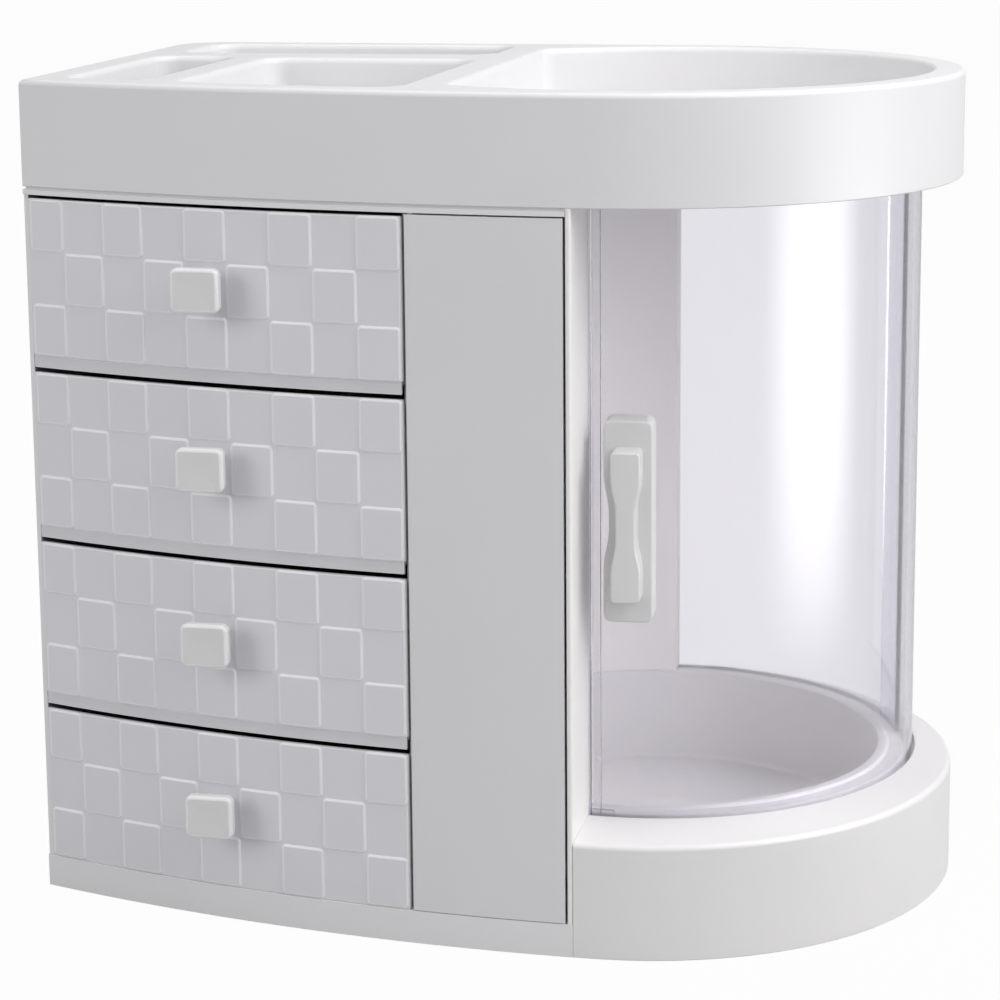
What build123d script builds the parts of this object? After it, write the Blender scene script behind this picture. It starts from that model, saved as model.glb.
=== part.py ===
from build123d import *
import math
import os

# Makeup organizer: four drawers and a tall cupboard on the left, a round clear compartment
# with a sliding door on the right, and an open tray on top.
# Millimetres, +Z up, front towards -Y. The origin is on the ground below the middle of the body.

# Overall body
body_width = 327.0
body_depth = 230.0
overall_height = 300.0
front_bow_radius = 665.0
back_corner_radius = 20.0
foot_lift = 0.5

# Levels
plinth_height = 12.4
base_height = 42.0
band_height = 38.0
tray_seam = 1.0
tray_seam_depth = 1.0
frame_thickness = 1.8

# Walls and general clearances
wall = 1.8
seam_gap = 0.2
board_thickness = 1.8

# Widths along the front, leftwards from the middle of the round end
case_end_inset = 9.0
cupboard_bay_width = 55.6
side_wall = 2.0

# Round compartment
cylinder_shift = 2.0
cylinder_rear_margin = 3.5
ledge_width = 17.5
clear_thickness = 2.0
clear_slide_gap = 0.9
well_inset = 13.0
well_rim_rise = 1.0
well_floor = 6.0
ledge_edge = 1.5
base_wall = 2.2
compartment_wall_inset = 11.5
rear_post_width = 5.5
return_nose_radius = 0.9
channel_depth = 3.2
channel_gap_inside = 1.3
channel_gap_outside = 1.0
panel_clearance = 0.2
door_rest_end_angle = 28.0
back_panel_end_angle = 12.0
door_float = 0.3

# Drawers
drawer_count = 4
front_spacing = 6.1
top_front_gap = 1.3
drawer_plate = 2.0
relief_height = 0.6
drawer_box_drop = 10.8
drawer_box_wall = 1.6
drawer_box_floor = 1.8
drawer_side_gap = 0.5
drawer_lift = 0.3
drawer_rear_gap = 3.0
drawer_rear_radius = 18.0
drawer_front_gap_right = 1.1
drawer_front_gap_left = 0.4
drawer_travel = 160.0
board_lip_height = 4.5
board_setback = 1.2
stop_tab_width = 12.0
stop_tab_rise = 11.3
stop_overlap = 2.5
stop_rib_thickness = 2.0
stop_clearance = 0.5
stop_spacing = 70.0

# Checker relief on the drawer fronts
cell_rows = 3
cell_width = 16.2
cell_gap = 0.35

# Knobs
knob_width = 18.0
knob_height = 16.5
knob_head = 4.5
knob_reach = 13.0
knob_corner_radius = 2.4
knob_edge = 0.9
knob_stem_width = 10.5
knob_stem_height = 9.0
knob_rise = 1.4
screw_radius = 1.5
screw_sides = 8
screw_head_sides = 6
screw_head_radius = 2.8
screw_head_height = 1.6
screw_grip = 5.0
screw_clearance = 0.2
screw_seat_gap = 0.05
screw_thread_gap = 0.05
screw_hole_spare = 1.0

# Tall cupboard door and rack
door_panel = 2.2
hinge_barrel_radius = 2.0
door_edge_radius = 0.7
hinge_pin_radius = 1.0
hinge_pin_clearance = 0.05
hinge_pin_reach = 1.5
door_gap_right = 0.8
door_gap_top = 0.6
door_gap_bottom = 0.3
shelf_tops = (32.3, 84.6, 136.4, 188.2)
shelf_thickness = 1.4
rack_clearance = 0.2
rack_front_setback = 5.2

# Sliding door handle
handle_angle = -86.4
handle_width = 17.3
handle_height = 71.2
handle_depth = 11.0
handle_corner_radius = 3.0
handle_middle = 151.4
handle_hollow = 1.6
handle_hollow_height = 34.0
grip_width = 10.3
grip_waist = 7.0
grip_height = 53.0
grip_depth = 9.5
grip_waist_length = 10.0
grip_shoulder = 16.4
grip_edge = 0.8
grip_corner_radius = 1.6
foot_width = 8.0
foot_height = 5.2
foot_inset = 0.3

# Tray on top
tray_wall = 2.2
pocket_wall = 2.0
pocket_depth = 32.0
pocket_corner_radius = 9.0
rim_edge = 1.8
tray_edge = 1.5
rim_left = 14.0
rim_front = 15.0
rim_back = 11.0
round_rim = 13.5
round_pocket_shift_x = 1.5
round_pocket_shift_y = 1.5
round_pocket_reach = 55.0
narrow_pocket_width = 30.5
pocket_divider = 15.0
round_divider = 16.0
back_pocket_depth = 48.0
back_land = 26.0
narrow_pocket_extra = 6.0
back_pocket_shift = 3.0
peg_width = 3.6
boss_width = 8.0
peg_clearance = 0.2

# Feet, and posts behind the curved wall
pad_width = 12.0
pad_thickness = 2.0
pad_boss_width = 14.0
post_width = 8.0
pad_inset = 16.0
well_pad_angles = (-60, 0, 60)
near_post_x = 10.0
near_post_inset = 11.0
far_post_x = 38.0
far_post_inset = 4.6
peg_inset_left = 9.0
peg_inset_front = 12.0
peg_inset_back = 12.0
divider_peg_x = 6.0

# Levels and faces worked out from the sizes above
left = -body_width / 2
end_radius = body_depth / 2
end_x = body_width / 2 - end_radius
bow_y = front_bow_radius - end_radius
back = body_depth / 2
tray_bottom = overall_height - band_height
frame_top = tray_bottom - tray_seam
frame_bottom = frame_top - frame_thickness
cupboard_right = end_x - case_end_inset
cupboard_x = cupboard_right - cupboard_bay_width
divider_x = cupboard_x - wall
box_right = cupboard_right + side_wall
drawer_left = left + wall + drawer_front_gap_left
door_left = cupboard_x - hinge_pin_clearance
drawer_right = door_left - drawer_front_gap_right
cell_columns = math.ceil((drawer_right - drawer_left) / cell_width)
drawer_pitch = (frame_bottom - plinth_height - top_front_gap + front_spacing) / drawer_count
drawer_front_height = drawer_pitch - front_spacing
drawer_box_height = drawer_front_height - drawer_box_drop
door_outer_radius = end_radius - ledge_width
door_inner_radius = door_outer_radius - clear_thickness
cylinder_x = end_x + cylinder_shift
cylinder_y = back - cylinder_rear_margin - door_outer_radius
back_panel_outer = door_inner_radius - clear_slide_gap
back_panel_inner = back_panel_outer - clear_thickness
slot_inner = back_panel_inner - panel_clearance
slot_outer = back_panel_outer + panel_clearance
channel_inner = door_inner_radius - channel_gap_inside
channel_outer = door_outer_radius + channel_gap_outside
channel_floor = base_height - channel_depth
well_radius = door_outer_radius - well_inset
compartment_wall_radius = door_outer_radius - compartment_wall_inset
well_rim = base_height + well_rim_rise
rear_post_x = cupboard_right + rear_post_width
wall_outer_radius = compartment_wall_radius + side_wall
pocket_floor = overall_height - pocket_depth
pocket_underside = pocket_floor - pocket_wall
round_pocket_radius = end_radius - round_rim
round_pocket_x = end_x + round_pocket_shift_x
round_pocket_left = end_x - round_pocket_reach
divider_front = 2 * hinge_barrel_radius + drawer_plate / 2
plate_back = relief_height + drawer_plate


def front_y(x, inset=0.0):
    """Y of the bowed front at x, moved inwards by inset."""
    radius = front_bow_radius - inset
    return bow_y - math.sqrt(radius**2 - (x - end_x) ** 2)


def front_arc(x0, x1, inset=0.0):
    """Edge along the bowed front between two x values."""
    middle = (x0 + x1) / 2
    return ThreePointArc(
        (x0, front_y(x0, inset)),
        (middle, front_y(middle, inset)),
        (x1, front_y(x1, inset)),
    )


def outline(inset=0.0):
    """Plan of the whole body: bowed front, half-round right end, flat back, rounded back corner."""
    x0 = left + inset
    y1 = back - inset
    corner = back_corner_radius - inset
    diagonal = corner * (1 - math.sqrt(0.5))
    edges = [
        front_arc(x0, end_x, inset),
        ThreePointArc((end_x, -y1), (end_x + end_radius - inset, 0), (end_x, y1)),
        Line((end_x, y1), (x0 + corner, y1)),
        ThreePointArc(
            (x0 + corner, y1),
            (x0 + diagonal, y1 - diagonal),
            (x0, y1 - corner),
        ),
        Line((x0, y1 - corner), (x0, front_y(x0, inset))),
    ]
    return make_face(Wire(edges))


def bow_strip(x0, x1, outer, inner):
    """Strip between two insets of the bowed front, cut off square at x0 and x1."""
    edges = [
        front_arc(x0, x1, outer),
        Line((x1, front_y(x1, outer)), (x1, front_y(x1, inner))),
        front_arc(x1, x0, inner),
        Line((x0, front_y(x0, inner)), (x0, front_y(x0, outer))),
    ]
    return make_face(Wire(edges))


def behind_front(x0, x1, inset, y1, corner=0.0):
    """Area behind the bowed front up to y1, with rounded rear corners if corner is given."""
    if corner <= 0:
        edges = [
            front_arc(x0, x1, inset),
            Line((x1, front_y(x1, inset)), (x1, y1)),
            Line((x1, y1), (x0, y1)),
            Line((x0, y1), (x0, front_y(x0, inset))),
        ]
        return make_face(Wire(edges))
    cut = corner * (1 - math.sqrt(0.5))
    edges = [
        front_arc(x0, x1, inset),
        Line((x1, front_y(x1, inset)), (x1, y1 - corner)),
        ThreePointArc((x1, y1 - corner), (x1 - cut, y1 - cut), (x1 - corner, y1)),
        Line((x1 - corner, y1), (x0 + corner, y1)),
        ThreePointArc((x0 + corner, y1), (x0 + cut, y1 - cut), (x0, y1 - corner)),
        Line((x0, y1 - corner), (x0, front_y(x0, inset))),
    ]
    return make_face(Wire(edges))


def prism(face, z0, z1):
    """Face pulled straight up from z0 to z1."""
    return Pos(0, 0, z0) * extrude(face, amount=z1 - z0, dir=(0, 0, 1))


def block(x0, x1, y0, y1, z0, z1):
    """Box between two corners."""
    size = Box(x1 - x0, y1 - y0, z1 - z0)
    return Pos((x0 + x1) / 2, (y0 + y1) / 2, (z0 + z1) / 2) * size


def post(x, y, width, z0, z1):
    """Upright square bar."""
    half = width / 2
    return block(x - half, x + half, y - half, y + half, z0, z1)


def rod(x, y, radius, z0, z1):
    """Upright cylinder."""
    return Pos(x, y, (z0 + z1) / 2) * Cylinder(radius, z1 - z0)


def disc(radius, z0, z1):
    """Upright cylinder on the axis of the round compartment."""
    return rod(cylinder_x, cylinder_y, radius, z0, z1)


def ring(inner, outer, z0, z1):
    """Ring on the axis of the round compartment."""
    return disc(outer, z0, z1) - disc(inner, z0, z1)


def curved_panel(inner, outer, start, end, z0, z1):
    """Piece of a ring between two angles, in degrees."""
    middle = (start + end) / 2

    def at(radius, angle):
        turn = math.radians(angle)
        return (cylinder_x + radius * math.cos(turn), cylinder_y + radius * math.sin(turn))

    edges = [
        ThreePointArc(at(outer, start), at(outer, middle), at(outer, end)),
        Line(at(outer, end), at(inner, end)),
        ThreePointArc(at(inner, end), at(inner, middle), at(inner, start)),
        Line(at(inner, start), at(outer, start)),
    ]
    return prism(make_face(Wire(edges)), z0, z1)


def meeting_angle(radius, face_x, clearance):
    """Angle at which a curved panel of this radius comes up to an upright face at face_x."""
    return 90 + math.degrees(math.asin((cylinder_x - face_x - clearance) / radius))


def door_start_angle():
    """Angle of the sliding door's front edge when it is shut against the front wall."""
    return -meeting_angle(door_outer_radius, box_right, seam_gap + door_float / 2)


far = 2 * body_width
right_side = block(box_right, far, -far, far, -far, far)
left_side = block(-far, box_right, -far, far, -far, far)
base_seam_x = box_right + seam_gap / 2
chord_x = cupboard_x + side_wall

# Places of the pads under the base, of the posts behind the curved wall and of the tray pegs
pad_places = [
    (left + pad_inset, front_y(left + pad_inset) + pad_inset),
    (left + pad_inset + back_corner_radius / 4, back - pad_inset),
    (cupboard_x - pad_inset, front_y(cupboard_x) + pad_inset),
    (cupboard_x - pad_inset, back - pad_inset),
]
well_pad_places = [
    (
        cylinder_x + (well_radius - pad_inset) * math.cos(math.radians(angle)),
        cylinder_y + (well_radius - pad_inset) * math.sin(math.radians(angle)),
    )
    for angle in well_pad_angles
]
post_places = [
    (cupboard_x + near_post_x, back - wall - near_post_inset),
    (cupboard_x + far_post_x, back - wall - far_post_inset),
]
peg_places = [
    (left + peg_inset_left, front_y(left + peg_inset_left) + peg_inset_front),
    (left + peg_inset_back, back - peg_inset_back),
    (divider_x + divider_peg_x, front_y(divider_x + divider_peg_x) + peg_inset_front),
    post_places[0],
]
hinge_x = door_left + hinge_barrel_radius
hinge_y = front_y(hinge_x) + hinge_barrel_radius
knob_column = cell_columns // 2
knob_x = drawer_right - (knob_column + 0.5) * cell_width
shelf_levels = [plinth_height + i * drawer_pitch for i in range(drawer_count)]


def make_plinth():
    """Low base under the drawers and the cupboard, hollow below, with pad bosses."""
    body = prism(outline(), foot_lift, plinth_height) & left_side
    hollow = prism(outline(wall), foot_lift, plinth_height - wall)
    hollow &= block(-far, box_right - wall, -far, far, -far, far)
    body -= hollow
    for x, y in pad_places:
        body += post(x, y, pad_boss_width, pad_thickness, plinth_height - wall)
    lobe = disc(wall_outer_radius + seam_gap, 0, plinth_height)
    body -= lobe & block(chord_x - side_wall - seam_gap, far, -far, far, -far, far)
    for x, y in post_places:
        body -= post(x, y, peg_width + 2 * peg_clearance, plinth_height - wall, plinth_height)
    pin_hole = hinge_pin_radius + hinge_pin_clearance
    body -= rod(hinge_x, hinge_y, pin_hole, plinth_height - wall, plinth_height)
    return body


def make_round_base():
    """Tall base of the clear compartment: ledge, door channel and round well in one moulding."""
    right_part = block(base_seam_x, far, -far, far, -far, far)
    body = prism(outline(), foot_lift, base_height) & right_part
    body = chamfer(outer_ledge_edges(body), ledge_edge)
    hollow = prism(outline(base_wall), foot_lift, base_height - base_wall)
    hollow &= block(base_seam_x + wall, far, -far, far, -far, far)
    body -= hollow - disc(channel_outer + wall, foot_lift, base_height)
    lobe = disc(wall_outer_radius, foot_lift, well_rim)
    body += lobe & block(cupboard_x, base_seam_x, -far, far, -far, far)
    body += disc(channel_inner, foot_lift, well_rim) & right_part
    under_ring = ring(well_radius + wall, channel_outer, foot_lift, channel_floor - wall)
    body -= under_ring & block(base_seam_x + wall, far, -far, far, -far, far)
    well = disc(well_radius, foot_lift, well_floor - wall)
    well += disc(well_radius, well_floor, well_rim)
    body -= well & block(chord_x, far, -far, far, -far, far)
    body -= ring(channel_inner, channel_outer, channel_floor, well_rim) & right_part
    end = meeting_angle(slot_outer, box_right, 0)
    start = back_panel_end_angle - 1
    slot = curved_panel(slot_inner, slot_outer, start, end, channel_floor, well_rim)
    body -= slot & right_part
    for x, y in well_pad_places:
        body += post(x, y, pad_boss_width, pad_thickness, well_floor - wall)
    return body


def outer_ledge_edges(body):
    """Upper outside edge of the round base, right of the seam."""
    found = []
    for edge in body.edges().filter_by_position(Axis.Z, base_height - 0.01, base_height + 0.01):
        middle = edge.position_at(0.5)
        reach = math.hypot(middle.X - end_x, middle.Y)
        if abs(reach - end_radius) < 0.05 and middle.X > base_seam_x + 1:
            found.append(edge)
        elif abs(middle.Y - front_y(middle.X)) < 0.05 and middle.X > base_seam_x:
            found.append(edge)
    return found


def make_body_shell():
    """Left side and back in one bent sheet."""
    body = prism(outline(), plinth_height, frame_bottom)
    body -= prism(outline(wall), plinth_height, frame_bottom)
    body &= block(left, cupboard_right, -far, far, -far, far)
    return body - block(left + wall, far, -far, back - back_corner_radius, -far, far)


def make_divider():
    """Upright wall between the drawers and the cupboard."""
    face = behind_front(divider_x, cupboard_x, divider_front, back - wall)
    return prism(face, plinth_height, frame_bottom)


def make_compartment_wall():
    """Curved wall of the round compartment, with a front return and a rear post."""
    inside = disc(compartment_wall_radius, 0, tray_bottom)
    arc = ring(compartment_wall_radius, wall_outer_radius, well_rim, frame_bottom)
    arc &= block(cupboard_x, box_right, -far, far, -far, far)
    flat = block(cupboard_x, chord_x, -far, far, well_rim, frame_bottom)
    flat &= disc(wall_outer_radius, well_rim, frame_bottom)
    front = prism(
        behind_front(cupboard_right, box_right, 0.0, cylinder_y), plinth_height, tray_bottom
    )
    nose = front.edges().filter_by(Axis.Z).sort_by(Axis.Y)[:2]
    front = fillet(nose, return_nose_radius)
    rear = block(cupboard_right, box_right, cylinder_y, back, plinth_height, tray_bottom)
    stile = block(box_right, rear_post_x, cylinder_y, back, well_rim, tray_bottom)
    lobe = disc(wall_outer_radius + seam_gap, plinth_height, well_rim)
    body = arc + flat + (front + rear - lobe - inside) + (stile - inside)
    for x, y in post_places:
        tie = block(x - wall / 2, x + wall / 2, cylinder_y, y, well_rim, frame_bottom)
        body += post(x, y, post_width, plinth_height, frame_bottom) + (tie - inside)
        body += post(x, y, peg_width, plinth_height - wall, plinth_height)
    return body


def make_board(level):
    """Board under a drawer, with its front lip, and the stop ribs for the drawer below."""
    corner = back_corner_radius
    sheet = behind_front(left + wall, divider_x, board_setback, back - wall, corner)
    body = prism(sheet, level - board_thickness, level)
    lip = bow_strip(left + wall, divider_x, board_setback, board_setback + wall)
    body += prism(lip, level - board_lip_height, level)
    for x in stop_places():
        body += stop_rib(x, level - board_thickness, tab_top(level - drawer_pitch))
    return body


def stop_places():
    """X of the two drawer stops."""
    return (knob_x - stop_spacing / 2, knob_x + stop_spacing / 2)


def stop_rib(x, top, tab_top):
    """Rib that hangs below a board and catches the tab of the drawer."""
    face = drawer_rear() - drawer_box_wall - drawer_travel - stop_clearance
    half = stop_tab_width / 2
    return block(x - half, x + half, face - stop_rib_thickness, face, tab_top - stop_overlap, top)


def tab_top(level):
    """Height of the top of the stop tabs of the drawer that rests at level."""
    return level + drawer_lift + drawer_box_height + stop_tab_rise


def drawer_rear():
    """Y of the outside of the drawer's rear wall."""
    return back - wall - drawer_rear_gap


def make_top_frame():
    """Thin frame that closes the drawer case and the cupboard, open over the round compartment."""
    body = prism(outline(), frame_bottom, frame_top)
    body &= block(left, cupboard_right, -far, far, -far, far)
    opening = disc(compartment_wall_radius, frame_bottom, frame_top)
    body -= opening & block(chord_x, far, -far, far, -far, far)
    for x in stop_places():
        body += stop_rib(x, frame_bottom, tab_top(shelf_levels[-1]))
    for x, y in peg_places:
        body -= post(x, y, peg_width + 2 * peg_clearance, frame_bottom, frame_top)
    pin_hole = hinge_pin_radius + hinge_pin_clearance
    body -= rod(hinge_x, hinge_y, pin_hole, frame_bottom, frame_top)
    return body


def make_drawer_front(level):
    """Bowed front plate with the checker relief of raised cells, the one below the knob flat."""
    top = level + drawer_front_height
    plate = bow_strip(drawer_left, drawer_right, relief_height, plate_back)
    body = prism(plate, level + drawer_lift, top)
    row_height = (drawer_front_height - drawer_lift) / cell_rows
    pads = prism(bow_strip(drawer_left, drawer_right, 0, relief_height), level, top)
    stamps = []
    for row in range(cell_rows):
        z = level + drawer_lift + (row + 0.5) * row_height
        for column in range(cell_columns):
            if (row - cell_rows // 2 + column - knob_column) % 2 == 0:
                continue
            x1 = drawer_right - column * cell_width
            x0 = max(x1 - cell_width, drawer_left)
            width = x1 - x0 - cell_gap
            cell = Rectangle(width, row_height - cell_gap)
            place = Plane(
                origin=((x0 + x1) / 2, -body_depth, z), x_dir=(1, 0, 0), z_dir=(0, -1, 0)
            )
            stamps.append(extrude(place * cell, amount=-body_depth, dir=(0, -1, 0)))
    raised = pads & Compound(children=stamps)
    body += raised.solids()
    hole = knob_hole(level, screw_radius + screw_clearance)
    return body - hole


def knob_level(level):
    """Height of the knob's middle on a drawer."""
    return level + drawer_front_height / 2 + knob_rise


def bar_across(level, sides, radius, y0, y1):
    """Bar from front to back on the knob's middle line, with few sides to stay light."""
    outline = Plane(origin=(knob_x, y0, knob_level(level)), x_dir=(1, 0, 0), z_dir=(0, -1, 0))
    return extrude(outline * RegularPolygon(radius, sides, major_radius=False), amount=y0 - y1)


def knob_hole(level, radius):
    """Hole for the knob screw through the drawer front."""
    y = front_y(knob_x)
    return bar_across(level, screw_sides, radius, y + knob_reach, y - knob_reach)


def make_drawer_box(level):
    """Open drawer box with a bowed front wall, rounded rear corners and two stop tabs."""
    x0 = left + wall + drawer_side_gap
    x1 = divider_x - drawer_side_gap
    z0 = level + drawer_lift
    z1 = z0 + drawer_box_height
    rear = drawer_rear()
    outside = behind_front(x0, x1, plate_back, rear, drawer_rear_radius)
    inside = behind_front(
        x0 + drawer_box_wall,
        x1 - drawer_box_wall,
        plate_back + drawer_box_wall,
        rear - drawer_box_wall,
        drawer_rear_radius - drawer_box_wall,
    )
    body = prism(outside, z0, z1) - prism(inside, z0 + drawer_box_floor, z1)
    half = stop_tab_width / 2
    for x in stop_places():
        body += block(x - half, x + half, rear - drawer_box_wall, rear, z1, z1 + stop_tab_rise)
    return body - knob_hole(level, screw_radius + screw_clearance)


def make_knob(level):
    """Pillow knob on a stem that follows the bowed front."""
    z = knob_level(level)
    face = front_y(knob_x) - knob_reach
    front = Plane(origin=(knob_x, face, z), x_dir=(1, 0, 0), z_dir=(0, -1, 0))
    head = RectangleRounded(knob_width, knob_height, knob_corner_radius)
    head = extrude(front * head, amount=-knob_head)
    head = chamfer(head.faces().sort_by(Axis.Y)[0].edges(), knob_edge)
    neck = Rectangle(knob_stem_width, knob_stem_height)
    stem = extrude(front.offset(-knob_head) * neck, amount=-knob_reach)
    seat = prism(
        bow_strip(knob_x - knob_width, knob_x + knob_width, relief_height, knob_reach),
        z - knob_height,
        z + knob_height,
    )
    y = front_y(knob_x) + screw_hole_spare
    depth = screw_grip + 2 * screw_hole_spare
    hole = bar_across(level, screw_sides, screw_radius, y, y - depth)
    return head + (stem - seat) - hole


def make_knob_screw(level):
    """Hexagon-head screw from inside the drawer into the knob."""
    seat = front_y(knob_x - screw_head_radius, plate_back + drawer_box_wall) + screw_seat_gap
    tip = front_y(knob_x) - screw_grip
    shank = bar_across(level, screw_sides, screw_radius - screw_thread_gap, seat, tip)
    top = seat + screw_head_height
    return shank + bar_across(level, screw_head_sides, screw_head_radius, top, seat)


def make_cupboard_door():
    """Tall bowed door with a hinge barrel along its left edge and a pin at each end of it."""
    z0 = plinth_height + door_gap_bottom
    z1 = frame_bottom - door_gap_top
    right = cupboard_right - door_gap_right
    body = prism(bow_strip(door_left, right, 0, door_panel), z0, z1)
    corner = body.edges().filter_by(Axis.Z).sort_by(Axis.X)[:2].sort_by(Axis.Y)[0]
    body = fillet(corner, door_edge_radius)
    body += rod(hinge_x, hinge_y, hinge_barrel_radius, z0, z1)
    stiffener = bow_strip(right - 2 * wall, right - wall, door_panel, door_panel + wall)
    body += prism(stiffener, z0 + wall, z1 - wall)
    lowest = plinth_height - hinge_pin_reach
    return body + rod(hinge_x, hinge_y, hinge_pin_radius, lowest, frame_bottom + hinge_pin_reach)


def make_cupboard_rack():
    """Shelf rack behind the cupboard door, with a curved back sheet."""
    x0 = cupboard_x + rack_clearance
    x1 = cupboard_right - rack_clearance
    inner = wall_outer_radius + rack_clearance
    outer = inner + shelf_thickness
    top = frame_bottom - rack_clearance
    face = behind_front(x0, x1, rack_front_setback, cylinder_y)
    body = ring(inner, outer, plinth_height, top) & prism(face, plinth_height, top)
    for level in shelf_tops:
        shelf = prism(face, level - shelf_thickness, level)
        body += shelf - disc(inner, level - shelf_thickness, level)
    return body


def make_back_panel():
    """Fixed clear panel at the back of the round compartment."""
    start = back_panel_end_angle
    end = meeting_angle(back_panel_outer, rear_post_x, seam_gap)
    top = pocket_underside - seam_gap
    return curved_panel(back_panel_inner, back_panel_outer, start, end, channel_floor, top)


def make_clear_door():
    """Clear door that slides round the compartment in the channels."""
    top = pocket_underside - 2 * door_float
    bottom = channel_floor + door_float
    return curved_panel(
        door_inner_radius, door_outer_radius, door_start_angle(), door_rest_end_angle, bottom, top
    )


def handle_plane(radius):
    """Plane square to the radius through the handle, facing outwards."""
    turn = math.radians(handle_angle)
    out = (math.cos(turn), math.sin(turn), 0)
    across = (-math.sin(turn), math.cos(turn), 0)
    origin = (cylinder_x + radius * out[0], cylinder_y + radius * out[1], handle_middle)
    return Plane(origin=origin, x_dir=across, z_dir=out)


def make_handle_block():
    """Base of the door handle: seated on the curve of the door, hollowed along its left side."""
    seat = door_outer_radius - 1
    shape = RectangleRounded(handle_width, handle_height, handle_corner_radius)
    half = handle_hollow_height / 2
    radius = (half**2 + handle_hollow**2) / (2 * handle_hollow)
    hollow = Pos(handle_hollow - radius - handle_width / 2, 0) * Circle(radius)
    body = handle_plane(seat) * (shape - hollow)
    body = extrude(body, amount=handle_depth + 1)
    low = handle_middle - handle_height
    return body - disc(door_outer_radius, low, low + 2 * handle_height)


def grip_face():
    """Waisted outline of the grip: square ends, drawn in at the middle by smooth arcs."""
    half = grip_width / 2
    waist = grip_waist / 2
    top = grip_height / 2
    step = half - waist
    run = grip_shoulder - grip_waist_length / 2
    radius = (step**2 + run**2) / (4 * step)
    halfway = (half - step / 2, grip_shoulder - run / 2)
    sag = step / 2 - (radius - math.sqrt(radius**2 - run**2 / 16))
    upper = (half - step / 2 + sag, grip_shoulder - run / 4)
    lower = (half - step / 2 - sag, grip_shoulder - 3 * run / 4)
    quarter = [
        Line((0, top), (half, top)),
        Line((half, top), (half, grip_shoulder)),
        ThreePointArc((half, grip_shoulder), upper, halfway),
        ThreePointArc(halfway, lower, (waist, grip_waist_length / 2)),
        Line((waist, grip_waist_length / 2), (waist, 0)),
        Line((waist, 0), (0, 0)),
        Line((0, 0), (0, top)),
    ]
    right = make_face(Wire(quarter))
    right += mirror(right, about=Plane.XZ)
    face = right + mirror(right, about=Plane.YZ)
    corners = [v for v in face.vertices() if abs(abs(v.Y) - top) < 0.01 and abs(v.X) > 0.01]
    return fillet(corners, grip_corner_radius)


def make_handle_grip():
    """Waisted grip that stands on the handle block."""
    seat = handle_plane(door_outer_radius + handle_depth)
    body = extrude(seat * grip_face(), amount=grip_depth)
    return chamfer(body.faces().sort_by(Axis.Y)[0].edges(), grip_edge)


def make_door_foot():
    """Small clear shoe at the foot of the sliding door's front edge, which runs in the channel."""
    start = door_start_angle() + foot_inset
    end = start + math.degrees(foot_width / door_outer_radius)
    outer = channel_outer - panel_clearance
    z0 = channel_floor + door_float
    return curved_panel(door_outer_radius, outer, start, end, z0, z0 + foot_height)


def tray_pockets():
    """Plan faces of the four compartments of the tray."""
    x0 = left + rim_left
    x1 = x0 + narrow_pocket_width
    x2 = x1 + pocket_divider
    x3 = round_pocket_left - round_divider
    rear = back - rim_back
    land = rear - back_pocket_depth
    front_rear = land - back_land
    narrow = behind_front(x0, x1, rim_front, front_rear + narrow_pocket_extra)
    middle = behind_front(x2, x3, rim_front, front_rear)
    x4 = x0 + back_pocket_shift
    long_one = make_face(Polyline((x4, land), (x3, land), (x3, rear), (x4, rear), (x4, land)))
    circle = Pos(round_pocket_x, round_pocket_shift_y) * Circle(round_pocket_radius)
    side = Pos(round_pocket_left + far / 2, 0) * Rectangle(far, far)
    round_one = circle & side
    faces = []
    for face in (narrow, middle, long_one, round_one):
        faces.append(fillet(face.vertices(), pocket_corner_radius))
    return faces


def make_tray():
    """Top tray: four compartments in one moulding, hollow between them, on bosses with pegs."""
    body = prism(outline(), tray_bottom, overall_height)
    pockets = tray_pockets()
    upper = body.edges().filter_by_position(
        Axis.Z, overall_height - 0.01, overall_height + 0.01
    )
    body = chamfer(upper, tray_edge)
    for face in pockets:
        body -= prism(face, pocket_floor, overall_height)
    rims = [edge for wire in body.faces().sort_by(Axis.Z)[-1].inner_wires() for edge in wire.edges()]
    body = body.chamfer(rim_edge, None, rims)
    hollow = prism(outline(tray_wall), tray_bottom, overall_height - tray_wall)
    for face in pockets:
        grown = offset(face, amount=pocket_wall)
        hollow -= prism(grown, pocket_underside, overall_height)
    ceiling = prism(outline(tray_wall), pocket_underside, pocket_floor)
    hollow -= ceiling & right_side
    body -= hollow
    inner = ring(slot_inner - wall, slot_inner, tray_bottom, pocket_underside)
    outer = ring(channel_outer, channel_outer + wall, tray_bottom, pocket_underside)
    body += (inner + outer) & right_side
    lip = prism(outline(tray_seam_depth) - outline(tray_wall), frame_top, tray_bottom)
    body += lip & block(left, cupboard_right, -far, far, -far, far)
    for x, y in peg_places:
        body += post(x, y, boss_width, frame_top, overall_height - tray_wall / 2)
        body += post(x, y, peg_width, frame_bottom, frame_top)
    return body


def make_foot_pads():
    """Soft pads under the base."""
    pads = [post(x, y, pad_width, 0, pad_thickness) for x, y in pad_places + well_pad_places]
    return Compound(children=pads)


def save(shape, name):
    """Write one piece to its own file."""
    export_step(shape, f"parts/{name}.step")


os.makedirs("parts", exist_ok=True)

save(make_plinth(), "plinth")
save(make_round_base(), "round_base")
save(make_body_shell(), "body_shell")
save(make_divider(), "divider_wall")
save(make_compartment_wall(), "compartment_wall")
save(make_top_frame(), "top_frame")
save(make_tray(), "top_tray")
save(make_cupboard_door(), "cupboard_door")
save(make_cupboard_rack(), "cupboard_rack")
save(make_back_panel(), "clear_back_panel")
save(make_clear_door(), "clear_door")
save(make_handle_block(), "door_handle_block")
save(make_handle_grip(), "door_handle_grip")
save(make_door_foot(), "clear_door_foot")
save(make_foot_pads(), "foot_pads")

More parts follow.
